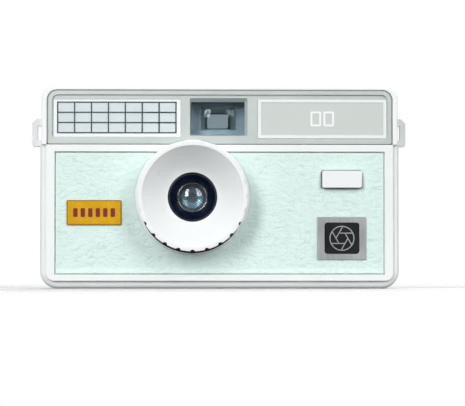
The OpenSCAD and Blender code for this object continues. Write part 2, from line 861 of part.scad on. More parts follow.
module sprocket() {
    color("gainsboro") {
        rod(sprocket_x, sprocket_y, base_z + 0.2, dial_z + 1, 1.5);
        rod(sprocket_x, sprocket_y, 8, 48, 4.2);
        for (z = [lens_z - perf_z, lens_z + perf_z]) {
            rod(sprocket_x, sprocket_y, z - 1.6, z + 1.6, 5.9);
            for (i = [0 : 7])
                translate([sprocket_x, sprocket_y, z]) rotate([0, 0, i * 45 + 22.5])
                    translate([5.7, 0, 0]) rotate([0, 90, 0])
                        cylinder(h = 1.2, r = 0.9, $fn = 16);
        }
        gear(sprocket_x, sprocket_y, gear_z, gear_t, spool_teeth, sprocket_turn);
        // Finger that steps the counter dial.
        translate([sprocket_x, sprocket_y, dial_z]) rotate([0, 0, -30])
            translate([0, -0.5, 0]) cube([1.7, 1, 1]);
    }
}

module counter_dial() {
    color("white") difference() {
        rod(dial_x, dial_y, dial_z, dial_z + 1.2, dial_r);
        rod(dial_x, dial_y, dial_z - 1, dial_z + 3, 0.85);
    }
}

module rewind_fork() {
    color("whitesmoke") {
        rod(cass_x, cass_y, 3.05, 6.8, 2);
        rod(cass_x, cass_y, hub_floor + 0.05, hub_floor + 0.6, 4.6);
        box(cass_x - 2.6, cass_x + 2.6, cass_y - 0.7, cass_y + 0.7, hub_floor + 0.3, 7.6);
    }
}

module rewind_hub() {
    color("whitesmoke") difference() {
        rod(cass_x, cass_y, 0.3, 3.05, hub_r);
        // Slot for the folded crank, open at the pivot's rim.
        box(cass_x - 7.2, cass_x + 10, cass_y - 2.2, cass_y + 2.2, 0, 1.75);
        box(cass_x + 4.6, cass_x + 10, cass_y - 2.2, cass_y + 2.2, 0, 2.3);
        rod(cass_x - 4.8, cass_y, 0, 2.8, 2.3);
    }
    color("silver") translate([cass_x + crank_off, cass_y, crank_z]) rotate([90, 0, 0])
        cylinder(h = 4.5, r = 0.45, center = true);
}

module rewind_crank() {
    color("whitesmoke") difference() {
        union() {
            box(cass_x - 6.8, cass_x + crank_off, cass_y - 1.9, cass_y + 1.9,
                crank_z - 0.6, crank_z + 0.6);
            translate([cass_x + crank_off, cass_y, crank_z]) rotate([90, 0, 0])
                cylinder(h = 3.8, r = 0.9, center = true);
            rod(cass_x - 4.8, cass_y, crank_z, 2.6, 2);
        }
        translate([cass_x + crank_off, cass_y, crank_z]) rotate([90, 0, 0])
            cylinder(h = 6, r = 0.5, center = true);
    }
}

module rewind_release() {
    color("dimgray") {
        rod(sprocket_x, sprocket_y, 0.2, 2, 2.8);
        rod(sprocket_x, sprocket_y, 1.85, 2.5, 3.8);
    }
}

// ---- Back and doors ------------------------------------------------------

module back_door() {
    color("white") difference() {
        union() {
            difference() {
                soft_block(body_w, 0, 70, corner_r, 5, back_y, 1, rear_r);
                box(-70, 70, 0, door_y, -1, 80);
                box(-70, 70, 0, 40, door_top, 80);
                box(-70, 70, 0, 40, -1, 0.4);
                box(-70, hinge_x + 1.9, 0, 40, -1, 80);
                box(hinge_x + 3.6, body_w / 2 - 1.6, 0, back_y - 1.8, 2, door_top - 1.4);
            }
            // Barrel and the web to the panel.
            rod(hinge_x, hinge_y, 10, 41.8, 1.75);
            box(hinge_x, hinge_x + 2.4, hinge_y, hinge_y + 1.75, 10, 41.8);
        }
        rod(hinge_x, hinge_y, -1, 60, 0.86);
    }
    // Pins that carry the pressure plate.
    color("white") for (x = [-10, 10])
        rod_y(lens_x + x, lens_z, film_y + 0.4, back_y - 1.7, 1);
}

module pressure_plate() {
    y0 = film_y + 0.2;
    color("dimgray") difference() {
        plate(lens_x, lens_z, 26, 33, 1.5, y0, y0 + 0.8);
        for (x = [-10, 10]) rod_y(lens_x + x, lens_z, -30, 30, 1.1);
    }
}

module plate_spring() {
    color("silver") {
        box(-18, 0, 17.1, 17.4, lens_z - 5, lens_z + 5);
        for (x = [-14, -6]) box(x, x + 2, 17.35, back_y - 1.85, lens_z - 3, lens_z + 3);
    }
}

// Foam strips inside the door's two ends.
module light_seal() {
    color("black") for (x = [-53.4, 55.2])
        box(x, x + 2, door_y, back_y - 1.8, 6, 46);
}

module door_latch() {
    x = body_w / 2;
    color("gainsboro") {
        box(x - 0.9, x + 0.7, 9.2, 14.8, latch_z - 4, latch_z + 4);
        box(x - 2, x - 0.85, 11, 13, latch_z - 2, latch_z + 2);
        box(x - 2.95, x - 1.9, 11, 18, latch_z - 3, latch_z + 3);
    }
}

module battery_door() {
    color("white") difference() {
        union() {
            box(batt_x - 6.9, batt_x + 6.9, batt_hinge_y, 10.4, 0.25, 1.75);
            translate([batt_x - 6.9, batt_hinge_y, 1]) rotate([0, 90, 0])
                cylinder(h = 13.8, r = 0.75);
            translate([batt_x - 7.6, batt_hinge_y, 1]) rotate([0, 90, 0])
                cylinder(h = 15.2, r = 0.5);
        }
        for (i = [0 : 4]) box(batt_x - 4, batt_x + 4, 4 + i, 4.5 + i, 0, 0.5);
    }
}

module battery_spring() {
    color("silver") difference() {
        translate([batt_x, batt_y, 1.75]) cylinder(h = 1.6, r1 = 3.6, r2 = 1.8);
        translate([batt_x, batt_y, 1.75 - eps]) cylinder(h = 1.6 + 2 * eps, r1 = 3.1, r2 = 1.3);
    }
}

body_shell();
front_frame();
leatherette();
colour_badge();
emblem_plate();
top_cover();
fascia();
cell_plate();
cell_window();
nameplate();
finder_window();
finder_housing();
finder_front_lens();
finder_rear_lens();
eyepiece();
lens_ring();
lens_retainer();
taking_lens();
lens_barrel();
aperture_plate();
chassis();
cassette_chamber();
light_box();
battery_box();
counter_window();
ready_lamp();
circuit_board();
flash_capacitor();
battery_contact();
strap_lugs();
body_screws();
hinge_pin();
shutter_button();
release_bar();
shutter_spring();
shutter_blade();
flash_button();
flash_button_spring();
flash_cap();
flash_housing();
flash_reflector();
flash_tube();
flash_diffuser();
flash_lift_spring();
takeup_spool();
advance_wheel();
idler_gear();
sprocket();
counter_dial();
rewind_hub();
rewind_fork();
rewind_crank();
rewind_release();
back_door();
pressure_plate();
plate_spring();
light_seal();
door_latch();
battery_door();
battery_spring();
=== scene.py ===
import math

import bmesh
import bpy
import numpy as np
from mathutils import Matrix, Vector


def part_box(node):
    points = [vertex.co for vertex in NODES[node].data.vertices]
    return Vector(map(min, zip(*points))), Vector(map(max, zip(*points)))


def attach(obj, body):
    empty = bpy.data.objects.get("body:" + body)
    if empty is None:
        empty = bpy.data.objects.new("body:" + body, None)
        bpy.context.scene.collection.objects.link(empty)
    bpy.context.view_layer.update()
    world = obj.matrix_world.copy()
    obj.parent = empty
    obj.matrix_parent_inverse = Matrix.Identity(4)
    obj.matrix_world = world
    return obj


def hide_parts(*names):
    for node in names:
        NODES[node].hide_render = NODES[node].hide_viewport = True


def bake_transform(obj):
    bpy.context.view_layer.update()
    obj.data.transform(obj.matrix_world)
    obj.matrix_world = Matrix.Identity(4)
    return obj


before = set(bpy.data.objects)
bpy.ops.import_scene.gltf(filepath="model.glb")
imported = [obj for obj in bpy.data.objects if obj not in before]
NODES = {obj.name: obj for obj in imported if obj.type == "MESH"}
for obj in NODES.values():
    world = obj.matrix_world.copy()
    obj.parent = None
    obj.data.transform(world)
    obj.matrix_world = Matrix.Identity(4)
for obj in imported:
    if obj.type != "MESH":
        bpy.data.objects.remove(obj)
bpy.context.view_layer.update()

# A half frame camera from straight in front: soft white studio light on cream, mint and
# silver surfaces. The script works in metres; MM turns the design's millimetres into them.
MM = 0.001
WHITE = (1, 1, 1, 1)
LARGE_ROUND, SMALL_ROUND = 160, 96  # sides of large and of small round parts


def middle(node):
    """Middle of a CAD node's box."""
    low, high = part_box(node)
    return (low + high) / 2


# ---- Driving places, from the frame ------------------------------------------------

LENS = middle("lens_ring")
RING_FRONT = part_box("lens_ring")[0].y
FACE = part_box("front_frame")[0].y
RING_R = (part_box("lens_ring")[1].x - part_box("lens_ring")[0].x) / 2
COVER_LOW, COVER_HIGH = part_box("leatherette")
EMBLEM_LOW, EMBLEM_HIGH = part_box("emblem_plate")
BADGE_LOW, BADGE_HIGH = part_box("colour_badge")
NAME_LOW, NAME_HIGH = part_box("nameplate")
CELL_LOW, CELL_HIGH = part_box("cell_plate")
FINDER_LOW, FINDER_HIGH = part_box("finder_window")

# Places that a node's box doesn't give.
GRID_MID = Vector((-33.85, 0, 56.2)) * MM
GRID_HALF = Vector((7 * 5.55, 0, 3 * 3.35)) / 2 * MM
FRONT_BUTTON = Vector((40.1, 0, 35.8)) * MM
FRONT_BUTTON_CUT = (14 * MM, 6.5 * MM)
COLLAR_CUT_R = 18.9 * MM


# ---- Shader helpers ----------------------------------------------------------------


def linear(*screen):
    """Linear colour of a colour written as 0 to 255 on the screen."""
    part = [c / 255 / 12.92 if c < 11 else ((c / 255 + 0.055) / 1.055) ** 2.4 for c in screen]
    return (*part, 1.0)


def shader(name):
    """A new material and its empty node tree."""
    material = bpy.data.materials.new(name)
    material.use_nodes = True
    material.node_tree.nodes.clear()
    return material, material.node_tree


def add(tree, kind, inputs=None, **settings):
    """A node of a tree, with its settings, and its inputs as values or as other nodes' sockets."""
    node = tree.nodes.new("ShaderNode" + kind)
    for key, value in settings.items():
        setattr(node, key, value)
    for key, value in (inputs or {}).items():
        if isinstance(value, bpy.types.NodeSocket):
            tree.links.new(value, node.inputs[key])
        else:
            node.inputs[key].default_value = value
    return node


def place(tree, stretch=(1, 1, 1)):
    """Object coordinates, in metres, stretched along the axes."""
    coords = add(tree, "TexCoord").outputs["Object"]
    return add(tree, "Mapping", {"Vector": coords, "Scale": stretch}).outputs["Vector"]


def cloud(tree, at, size, detail=3.0):
    """Noise from 0 to 1 with features of about this size, in metres."""
    return add(tree, "TexNoise", {
        "Vector": at, "Scale": 1 / size, "Detail": detail, "Roughness": 0.55}).outputs["Fac"]


def between(tree, value, low, high, start=0.3, end=0.7):
    """A value from start to end mapped to low to high."""
    return add(tree, "MapRange", {
        "Value": value, "From Min": start, "From Max": end,
        "To Min": low, "To Max": high}).outputs["Result"]


def maths(tree, operation, *values):
    """Result of a maths node."""
    return add(tree, "Math", dict(enumerate(values)), operation=operation).outputs[0]


def from_middle(tree, value, centre):
    """How far a coordinate is from a centre, on either side."""
    return maths(tree, "ABSOLUTE", maths(tree, "SUBTRACT", value, centre))


def blend_colour(tree, factor, first, second):
    """Two colours mixed by a factor."""
    node = add(tree, "Mix", {"Factor": factor}, data_type="RGBA")
    for socket, value in zip((node.inputs[6], node.inputs[7]), (first, second)):
        if isinstance(value, bpy.types.NodeSocket):
            tree.links.new(value, socket)
        else:
            socket.default_value = value
    return node.outputs[2]


def relief(tree, height, depth, strength=1.0, under=None):
    """Normal of a bump map whose height of 1 stands this many metres proud."""
    inputs = {"Height": height, "Distance": depth, "Strength": strength}
    if under is not None:
        inputs["Normal"] = under
    return add(tree, "Bump", inputs).outputs["Normal"]


def finish_shader(tree, surface):
    """Links a shader socket to the material's output."""
    tree.links.new(surface, add(tree, "OutputMaterial").inputs["Surface"])


def mix_shaders(tree, share, first, second):
    """Two shader nodes mixed by a share, as the output."""
    mix = add(tree, "MixShader", {0: share, 1: first.outputs[0], 2: second.outputs[0]})
    finish_shader(tree, mix.outputs["Shader"])


def principled(tree, base, rough, normal, **more):
    """Principled surface as the output; more names further inputs, as in Coat_Weight."""
    inputs = {"Base Color": base, "Roughness": rough, "Normal": normal}
    inputs.update((key.replace("_", " "), value) for key, value in more.items())
    finish_shader(tree, add(tree, "BsdfPrincipled", inputs).outputs["BSDF"])


def tinted(colour, share):
    """A colour made darker or lighter by a share."""
    return (*[min(1, c * share) for c in colour[:3]], 1.0)


def mottled(tree, noise, colour, dark, light):
    """A colour that noise turns darker or lighter, each by a share."""
    return blend_colour(tree, between(tree, noise, 0, 1),
                        tinted(colour, dark), tinted(colour, light))


# ---- Materials ---------------------------------------------------------------------


def moulded(name, colour, roughness, coat=0.0, mottle=0.04, grain=0.25 * MM, depth=0.006 * MM):
    """Moulded plastic: faint flow marks in its colour, and a fine spark-eroded grain."""
    material, tree = shader(name)
    at = place(tree)
    flow = cloud(tree, at, 18 * MM, 5)
    speck = cloud(tree, at, grain, 2)
    base = mottled(tree, flow, colour, 1 - mottle, 1 + mottle / 2)
    rough = between(tree, cloud(tree, at, 6 * MM, 4), roughness - 0.05, roughness + 0.07)
    principled(tree, base, rough, relief(tree, speck, depth),
               IOR=1.49, Coat_Weight=coat, Coat_Roughness=0.12)
    return material


def painted(name, colour, roughness, metallic=0.35):
    """Satin metallic paint with fine flakes."""
    material, tree = shader(name)
    at = place(tree)
    flake = add(tree, "TexVoronoi", {"Vector": at, "Scale": 1 / (0.12 * MM)}).outputs["Color"]
    tone = add(tree, "SeparateColor", {"Color": flake}).outputs["Red"]
    broad = cloud(tree, at, 22 * MM, 4)
    shade = mottled(tree, broad, colour, 0.97, 1.02)
    base = blend_colour(tree, between(tree, tone, 0, 0.16, 0, 1), shade, tinted(colour, 1.35))
    rough = between(tree, cloud(tree, at, 5 * MM, 3), roughness - 0.04, roughness + 0.06)
    principled(tree, base, rough, relief(tree, tone, 0.002 * MM), Metallic=metallic)
    return material


def brushed(name, colour, roughness, stretch, metallic=1.0):
    """Metal brushed along one axis, with streaks in its tone and its gloss."""
    material, tree = shader(name)
    at = place(tree, stretch)
    streak = cloud(tree, at, 0.35 * MM, 4)
    smear = cloud(tree, place(tree), 7 * MM, 3)
    base = mottled(tree, streak, colour, 0.86, 1.1)
    rough = between(tree, smear, roughness - 0.05, roughness + 0.08)
    principled(tree, base, rough, relief(tree, streak, 0.004 * MM), Metallic=metallic)
    return material


def wrinkled_cover(name):
    """Mint leatherette with painted shade darkening its creases, and fine pores over the modelled
    wrinkles.
    """
    material, tree = shader(name)
    at = place(tree)
    crease_and_shade = add(tree, "Attribute", attribute_name="crease_and_shade").outputs["Fac"]
    broad = cloud(tree, at, 16 * MM, 4)
    shade = blend_colour(tree, between(tree, broad, 0, 1),
                         linear(217, 238, 233), linear(223, 242, 238))
    # Painted shade: the crease layer turns the colour darker in the creases, as their shadow would.
    base = blend_colour(tree, between(tree, crease_and_shade, 0, 0.6, 0, 1), shade, linear(192, 216, 209))
    pore = add(tree, "TexVoronoi", {"Vector": at, "Scale": 1 / (0.32 * MM)},
               feature="DISTANCE_TO_EDGE")
    pores = between(tree, pore.outputs["Distance"], 0, 1, 0.02, 0.25)
    rough = between(tree, cloud(tree, at, 2 * MM, 4), 0.42, 0.62)
    fine = relief(tree, cloud(tree, at, 0.12 * MM, 3), 0.012 * MM)
    principled(tree, base, rough, relief(tree, pores, 0.012 * MM, 0.7, fine),
               IOR=1.48, Sheen_Weight=0.08, Sheen_Roughness=0.4)
    return material


def two_tone(name, front, back, split, roughness):
    """Plate in one colour on what stands in front of a plane, and in another behind it."""
    material, tree = shader(name)
    at = place(tree)
    depth = add(tree, "SeparateXYZ", {"Vector": at}).outputs["Y"]
    is_back = maths(tree, "GREATER_THAN", depth, split)
    colour = blend_colour(tree, is_back, front, back)
    broad = cloud(tree, at, 9 * MM, 5)
    base = blend_colour(tree, between(tree, broad, 0, 0.12), colour, tinted(back, 0.8))
    rough = between(tree, cloud(tree, at, 3 * MM, 3), roughness - 0.05, roughness + 0.08)
    principled(tree, base, rough, relief(tree, cloud(tree, at, 0.2 * MM, 2), 0.004 * MM))
    return material


def cell_print(name, line, cell, border, roughness):
    """Grid of raised dark lines over grey cells, with a white border round it."""
    material, tree = shader(name)
    at = place(tree)
    parts = add(tree, "SeparateXYZ", {"Vector": at})
    gaps = []
    for axis, centre, half in (("X", GRID_MID.x, GRID_HALF.x), ("Z", GRID_MID.z, GRID_HALF.z)):
        reach = from_middle(tree, parts.outputs[axis], centre)
        gaps.append(maths(tree, "SUBTRACT", reach, half))
    is_border = maths(tree, "GREATER_THAN", maths(tree, "MAXIMUM", *gaps), 0.0)
    is_line = maths(tree, "LESS_THAN", parts.outputs["Y"], CELL_LOW.y + 0.08 * MM)
    broad = cloud(tree, at, 6 * MM, 4)
    paper = mottled(tree, broad, cell, 0.96, 1.03)
    plate = blend_colour(tree, is_border, paper, border)
    base = blend_colour(tree, is_line, plate, line)
    rough = between(tree, cloud(tree, at, 3 * MM, 3), roughness - 0.05, roughness + 0.08)
    principled(tree, base, rough, relief(tree, cloud(tree, at, 0.2 * MM, 2), 0.004 * MM))
    return material


def clear_pane(name, tint, gloss=0.06):
    """Thin clear plastic: lets everything through and mirrors the lights."""
    material, tree = shader(name)
    at = place(tree)
    sight = add(tree, "BsdfTransparent", {"Color": tint})
    rough = between(tree, cloud(tree, at, 4 * MM, 4), gloss * 0.6, gloss * 1.8)
    mirror = add(tree, "BsdfGlossy", {
        "Color": WHITE, "Roughness": rough,
        "Normal": relief(tree, cloud(tree, at, 9 * MM, 2), 0.01 * MM)})
    edge = add(tree, "Fresnel", {"IOR": 1.46}).outputs["Fac"]
    inner_side = add(tree, "NewGeometry").outputs["Backfacing"]
    share = add(tree, "Mix", {"Factor": inner_side, "A": edge, "B": 0.0}).outputs["Result"]
    mix_shaders(tree, share, sight, mirror)
    return material


def lens_glass(name, tint):
    """Coated optical glass that bends what is behind it and lets the lamps' light through."""
    material, tree = shader(name)
    at = place(tree)
    rough = between(tree, cloud(tree, at, 3 * MM, 3), 0.0, 0.02)
    glass = add(tree, "BsdfPrincipled", {
        "Base Color": tint, "Roughness": rough, "IOR": 1.52, "Transmission Weight": 1.0,
        "Coat Weight": 0.15, "Coat Tint": (0.8, 0.92, 0.95, 1), "Coat Roughness": 0.02})
    shadow = add(tree, "LightPath").outputs["Is Shadow Ray"]
    open_way = add(tree, "BsdfTransparent", {"Color": tint})
    mix_shaders(tree, shadow, glass, open_way)
    return material


def enamel(name, colour, edge_colour, low, high, roughness):
    """Glossy enamel on a plate, darker where it thins out towards the plate's edge."""
    material, tree = shader(name)
    at = place(tree)
    parts = add(tree, "SeparateXYZ", {"Vector": at})
    inside = []
    for axis, a, b in (("X", low.x, high.x), ("Z", low.z, high.z)):
        reach = from_middle(tree, parts.outputs[axis], (a + b) / 2)
        inside.append(maths(tree, "SUBTRACT", (b - a) / 2, reach))
    thin = between(tree, maths(tree, "MINIMUM", *inside), 1, 0, 0.15 * MM, 0.55 * MM)
    cloudy = cloud(tree, at, 5 * MM, 4)
    field = mottled(tree, cloudy, colour, 0.93, 1.06)
    base = blend_colour(tree, thin, field, edge_colour)
    rough = between(tree, cloud(tree, at, 2 * MM, 3), roughness - 0.05, roughness + 0.08)
    principled(tree, base, rough, relief(tree, cloud(tree, at, 0.5 * MM, 2), 0.003 * MM),
               Coat_Weight=0.4, Coat_Roughness=0.08)
    return material


def board(name):
    """Circuit board: solder mask with copper tracks under it."""
    material, tree = shader(name)
    at = place(tree)
    track = add(tree, "TexBrick", {
        "Vector": at, "Scale": 1 / (6 * MM), "Mortar Size": 0.08,
        "Color1": linear(20, 96, 58), "Color2": linear(24, 108, 64), "Mortar": linear(60, 150, 90)})
    rough = between(tree, cloud(tree, at, 2 * MM, 3), 0.25, 0.4)
    principled(tree, track.outputs["Color"], rough,
               relief(tree, track.outputs["Fac"], 0.02 * MM))
    return material


def foam(name):
    """Black open-cell foam."""
    material, tree = shader(name)
    at = place(tree)
    cell = add(tree, "TexVoronoi", {"Vector": at, "Scale": 1 / (0.45 * MM)}).outputs["Distance"]
    base = blend_colour(tree, cell, linear(16, 16, 18), linear(44, 44, 47))
    rough = between(tree, cell, 0.85, 1.0)
    principled(tree, base, rough, relief(tree, cell, 0.15 * MM))
    return material


CREAM = moulded("cream_plastic", linear(240, 244, 243), 0.34, mottle=0.025)
GREY_WHITE = moulded("grey_white_plastic", linear(240, 243, 244), 0.4, mottle=0.03)
RING_WHITE = moulded("ring_plastic", linear(240, 243, 243), 0.32, coat=0.15,
                     grain=0.4 * MM, mottle=0.015)
DARK = moulded("dark_plastic", linear(38, 40, 44), 0.5, mottle=0.12)
TUNNEL = moulded("tunnel_plastic", linear(176, 181, 184), 0.55, mottle=0.1)
GLOSS_BLACK = moulded("gloss_black_plastic", linear(4, 14, 38), 0.2, coat=0.15,
                      mottle=0.1, depth=0.002 * MM)
BARREL = moulded("barrel_plastic", linear(22, 32, 40), 0.45, mottle=0.1)
SEAL = moulded("seal_rubber", linear(150, 156, 157), 0.6, mottle=0.06)
NYLON = moulded("gear_nylon", linear(228, 226, 214), 0.42)
LAMP = moulded("lamp_orange", linear(232, 116, 34), 0.2, coat=0.6)
SLEEVE = moulded("capacitor_sleeve", linear(30, 34, 84), 0.25, coat=0.4)
SILVER_PAINT = painted("silver_paint", linear(198, 206, 203), 0.42)
BUTTON_METAL = painted("button_metal", linear(206, 210, 211), 0.3, 0.7)
BRUSHED = brushed("brushed_silver", linear(182, 185, 186), 0.36, (1, 1, 0.06), 0.55)
STEEL = brushed("spring_steel", linear(182, 183, 185), 0.26, (1, 1, 0.3))
CHROME = brushed("reflector_metal", linear(222, 223, 225), 0.22, (0.1, 1, 1))
BLACKED = brushed("blackened_steel", linear(88, 104, 116), 0.4, (1, 0.3, 1))
BLADE = moulded("blade_black", linear(8, 30, 26), 0.5, mottle=0.1)
MINT = wrinkled_cover("mint_leatherette")
PANE = clear_pane("clear_pane", (0.98, 0.99, 0.99, 1))
FINDER_PANE = clear_pane("finder_pane", (0.86, 0.89, 0.91, 1), 0.04)
GLASS = lens_glass("coated_glass", (0.88, 0.92, 0.93, 1))
BEZEL = painted("finder_bezel_paint", linear(150, 159, 163), 0.4, 0.2)
YELLOW = enamel("yellow_enamel", linear(216, 166, 10), linear(150, 104, 18),
                BADGE_LOW, BADGE_HIGH, 0.22)
CELLS = cell_print("cell_print", linear(70, 76, 86), linear(226, 233, 236), WHITE, 0.4)
NAME = two_tone("name_print", linear(236, 240, 240), linear(203, 210, 206),
                NAME_LOW.y + 0.12 * MM, 0.42)
BOARD = board("circuit_board_green")
FOAM = foam("black_foam")
INK_RED = moulded("ink_red", linear(128, 22, 34), 0.4)
INK_WHITE = moulded("ink_white", linear(246, 249, 249), 0.4)
INK_BLACK = moulded("ink_black", linear(3, 4, 14), 0.35, depth=0.002 * MM)


# ---- CAD nodes ---------------------------------------------------------------------


def dress(node, material, bevel):
    """Gives a CAD node its material, edges broken by a bevel's width, and smooth normals."""
    ob = NODES[node]
    for slot in ob.material_slots:
        slot.material = material
    baked = ob.data.attributes.get("custom_normal")
    if baked:
        ob.data.attributes.remove(baked)
    ob.data.shade_smooth()
    weld = ob.modifiers.new("weld", "WELD")
    weld.merge_threshold = 0.002 * MM
    flat = ob.modifiers.new("flat", "DECIMATE")
    flat.decimate_type = "DISSOLVE"
    flat.angle_limit = math.radians(0.5)
    if bevel:
        edge = ob.modifiers.new("edge", "BEVEL")
        edge.width = bevel
        edge.segments = 2
        edge.limit_method = "ANGLE"
        edge.angle_limit = math.radians(32)
        edge.use_clamp_overlap = True
    else:
        crisp = ob.modifiers.new("crisp", "EDGE_SPLIT")
        crisp.split_angle = math.radians(30)
    even = ob.modifiers.new("even", "WEIGHTED_NORMAL")
    even.weight = 60


# Material, width of the broken edges, and the CAD nodes that have them.
PLAIN_NODES = (
    (CREAM, 0.15 * MM, ["front_frame", "top_cover", "back_door", "battery_door"]),
    (CREAM, 0.08 * MM, ["advance_wheel"]),
    (GREY_WHITE, 0.12 * MM, ["body_shell", "strap_lugs", "rewind_hub", "rewind_crank",
                             "door_latch"]),
    (RING_WHITE, 0.3 * MM, ["flash_button", "flash_cap"]),
    (DARK, 0, ["chassis", "cassette_chamber", "light_box", "battery_box",
               "takeup_spool", "release_bar", "rewind_release", "pressure_plate"]),
    (BARREL, 0, ["lens_barrel"]),
    (TUNNEL, 0, ["finder_housing"]),
    (GLOSS_BLACK, 0.3 * MM, ["eyepiece"]),
    (SILVER_PAINT, 0.15 * MM, ["fascia"]),
    (NAME, 0.08 * MM, ["nameplate"]),
    (CELLS, 0, ["cell_plate"]),
    (BUTTON_METAL, 0.12 * MM, ["shutter_button"]),
    (NYLON, 0, ["idler_gear", "sprocket", "rewind_fork", "flash_housing"]),
    (STEEL, 0, ["hinge_pin", "battery_contact"]),
    (BLADE, 0, ["shutter_blade"]),
    (BLACKED, 0, ["aperture_plate"]),
    (CHROME, 0, ["flash_reflector"]),
    (PANE, 0, ["cell_window", "counter_window"]),
    (GLASS, 0, ["finder_front_lens", "finder_rear_lens", "taking_lens", "flash_tube"]),
    (LAMP, 0.2 * MM, ["ready_lamp"]),
    (BOARD, 0, ["circuit_board"]),
    (SLEEVE, 0.3 * MM, ["flash_capacitor"]),
    (FOAM, 0, ["light_seal"]),
    (CREAM, 0, ["counter_dial"]),
    (YELLOW, 0.12 * MM, ["colour_badge"]),
    (BRUSHED, 0.12 * MM, ["emblem_plate"]),
)
for look, width, members in PLAIN_NODES:
    for member in members:
        dress(member, look, width)


# ---- Mesh helpers ------------------------------------------------------------------


def new_object(name, data):
    """A new object in the scene."""
    ob = bpy.data.objects.new(name, data)
    bpy.context.scene.collection.objects.link(ob)
    return ob


def piece(name, bm, material, body, stands_for=(), sharp=40):
    """A new object of a bmesh in the row frame, which rides on a CAD body where one is given."""
    ob = new_object(name, from_bmesh(bm, name, sharp))
    ob.data.materials.append(material)
    if body:
        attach(ob, body)
    if stands_for:
        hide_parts(*stands_for)
    return ob


def from_bmesh(bm, name, sharp=40):
    """Mesh of a bmesh, smooth but for edges past an angle in degrees."""
    bmesh.ops.recalc_face_normals(bm, faces=bm.faces)
    mesh = bpy.data.meshes.new(name)
    bm.to_mesh(mesh)
    bm.free()
    mesh.shade_smooth()
    mesh.set_sharp_from_angle(angle=math.radians(sharp))
    return mesh


def soften(ob, width):
    """Rounds a piece's sharp edges."""
    edge = ob.modifiers.new("edge", "BEVEL")
    edge.width = width
    edge.segments = 2
    edge.angle_limit = math.radians(35)
    ob.modifiers.new("even", "WEIGHTED_NORMAL")


def evaluated_mesh(ob):
    """Mesh of an object as its modifiers or its text make it."""
    bpy.context.view_layer.update()
    return bpy.data.meshes.new_from_object(
        ob.evaluated_get(bpy.context.evaluated_depsgraph_get()))


def bridge(bm, loops, around=True, closed=True):
    """Faces between each loop and the next, and, with around, between the last and the first."""
    for first, second in zip(loops, loops[1:] + loops[:1] if around else loops[1:]):
        count = len(first)
        for k in range(count if closed else count - 1):
            n = (k + 1) % count
            bm.faces.new((first[k], first[n], second[n], second[k]))


def close_ends(bm, loops):
    """Faces between a row of closed loops, and one over each end."""
    bridge(bm, loops, around=False)
    bm.faces.new(loops[0])
    bm.faces.new(list(reversed(loops[-1])))


def moulding(profile, closed=True):
    """Frame whose corners run along outlines in the XZ plane, each given with its depth."""
    bm = bmesh.new()
    loops = [[bm.verts.new((u, y, v)) for u, v in outline] for outline, y in profile]
    bridge(bm, loops, closed=closed)
    if not closed:
        bm.faces.new([loop[0] for loop in loops])
        bm.faces.new([loop[-1] for loop in reversed(loops)])
    return bm


def filleted(corners, steps=6):
    """Closed outline from (x, y, radius) corners, each rounded by an arc of its radius."""
    points = []
    count = len(corners)
    for i, (x, y, radius) in enumerate(corners):
        here = Vector((x, y))
        back = Vector(corners[i - 1][:2]) - here
        ahead = Vector(corners[(i + 1) % count][:2]) - here
        if radius <= 0:
            points.append(here)
            continue
        turn = back.angle(ahead)
        reach = min(radius / math.tan(turn / 2), back.length * 0.49, ahead.length * 0.49)
        radius = reach * math.tan(turn / 2)
        middle_way = (back.normalized() + ahead.normalized()).normalized()
        centre = here + middle_way * (radius / math.sin(turn / 2))
        first = here + back.normalized() * reach - centre
        last = here + ahead.normalized() * reach - centre
        sweep = first.angle_signed(last)
        for k in range(steps + 1):
            points.append(centre + Matrix.Rotation(-sweep * k / steps, 2) @ first)
    return points


def lathe(outline, centre, angles, axis="Y", shape=None):
    """Solid of revolution about an axis through centre, of (radius, place on the axis) points."""
    bm = bmesh.new()
    rings = []
    for angle in angles:
        ring = []
        for radius, along in outline:
            if shape:
                radius = shape(radius, along, angle)
            side, up = radius * math.sin(angle), radius * math.cos(angle)
            if axis == "Y":
                at = (centre.x + side, along, centre.z + up)
            else:
                at = (centre.x + side, centre.y + up, along)
            ring.append(bm.verts.new(at))
        rings.append(ring)
    bridge(bm, rings)
    bmesh.ops.remove_doubles(bm, verts=bm.verts, dist=1e-7)
    bmesh.ops.dissolve_degenerate(bm, edges=bm.edges, dist=1e-8)
    return bm


def even_angles(count):
    """Angles round a full turn."""
    return [2 * math.pi * i / count for i in range(count)]


def slab(outline, low, high, axis="Y"):
    """Prism of an outline in the XZ plane (or XY, with axis Z) from low to high."""
    bm = bmesh.new()
    ends = []
    for along in (low, high):
        ends.append([bm.verts.new((u, along, v) if axis == "Y" else (u, v, along))
                     for u, v in outline])
    bm.faces.new(ends[0])
    bm.faces.new(list(reversed(ends[1])))
    for i in range(len(outline)):
        j = (i + 1) % len(outline)
        bm.faces.new((ends[0][i], ends[1][i], ends[1][j], ends[0][j]))
    return bm


def rectangle(x, z, width, height, radius, steps=6):
    """Rounded rectangle round a middle point."""
    a, b = width / 2, height / 2
    return filleted([(x - a, z - b, radius), (x + a, z - b, radius),
                     (x + a, z + b, radius), (x - a, z + b, radius)], steps)


def join(parts):
    """One bmesh of several."""
    whole = bmesh.new()
    for part in parts:
        mesh = bpy.data.meshes.new("part")
        part.to_mesh(mesh)
        part.free()
        whole.from_mesh(mesh)
        bpy.data.meshes.remove(mesh)
    return whole


def tube(points, radius):
    """Closed tube along a line of points."""
    sides = 8
    bm = bmesh.new()
    rings = []
    for i, point in enumerate(points):
        ahead = points[min(i + 1, len(points) - 1)] - points[max(i - 1, 0)]
        ahead.normalize()
        side = ahead.cross(Vector((0.31, 0.17, 0.94))).normalized()
        up = side.cross(ahead)
        ring = []
        for k in range(sides):
            angle = 2 * math.pi * k / sides
            out = side * math.cos(angle) + up * math.sin(angle)
            ring.append(bm.verts.new(point + out * radius))
        rings.append(ring)
    close_ends(bm, rings)
    return bm


# ---- Lens ring ---------------------------------------------------------------------


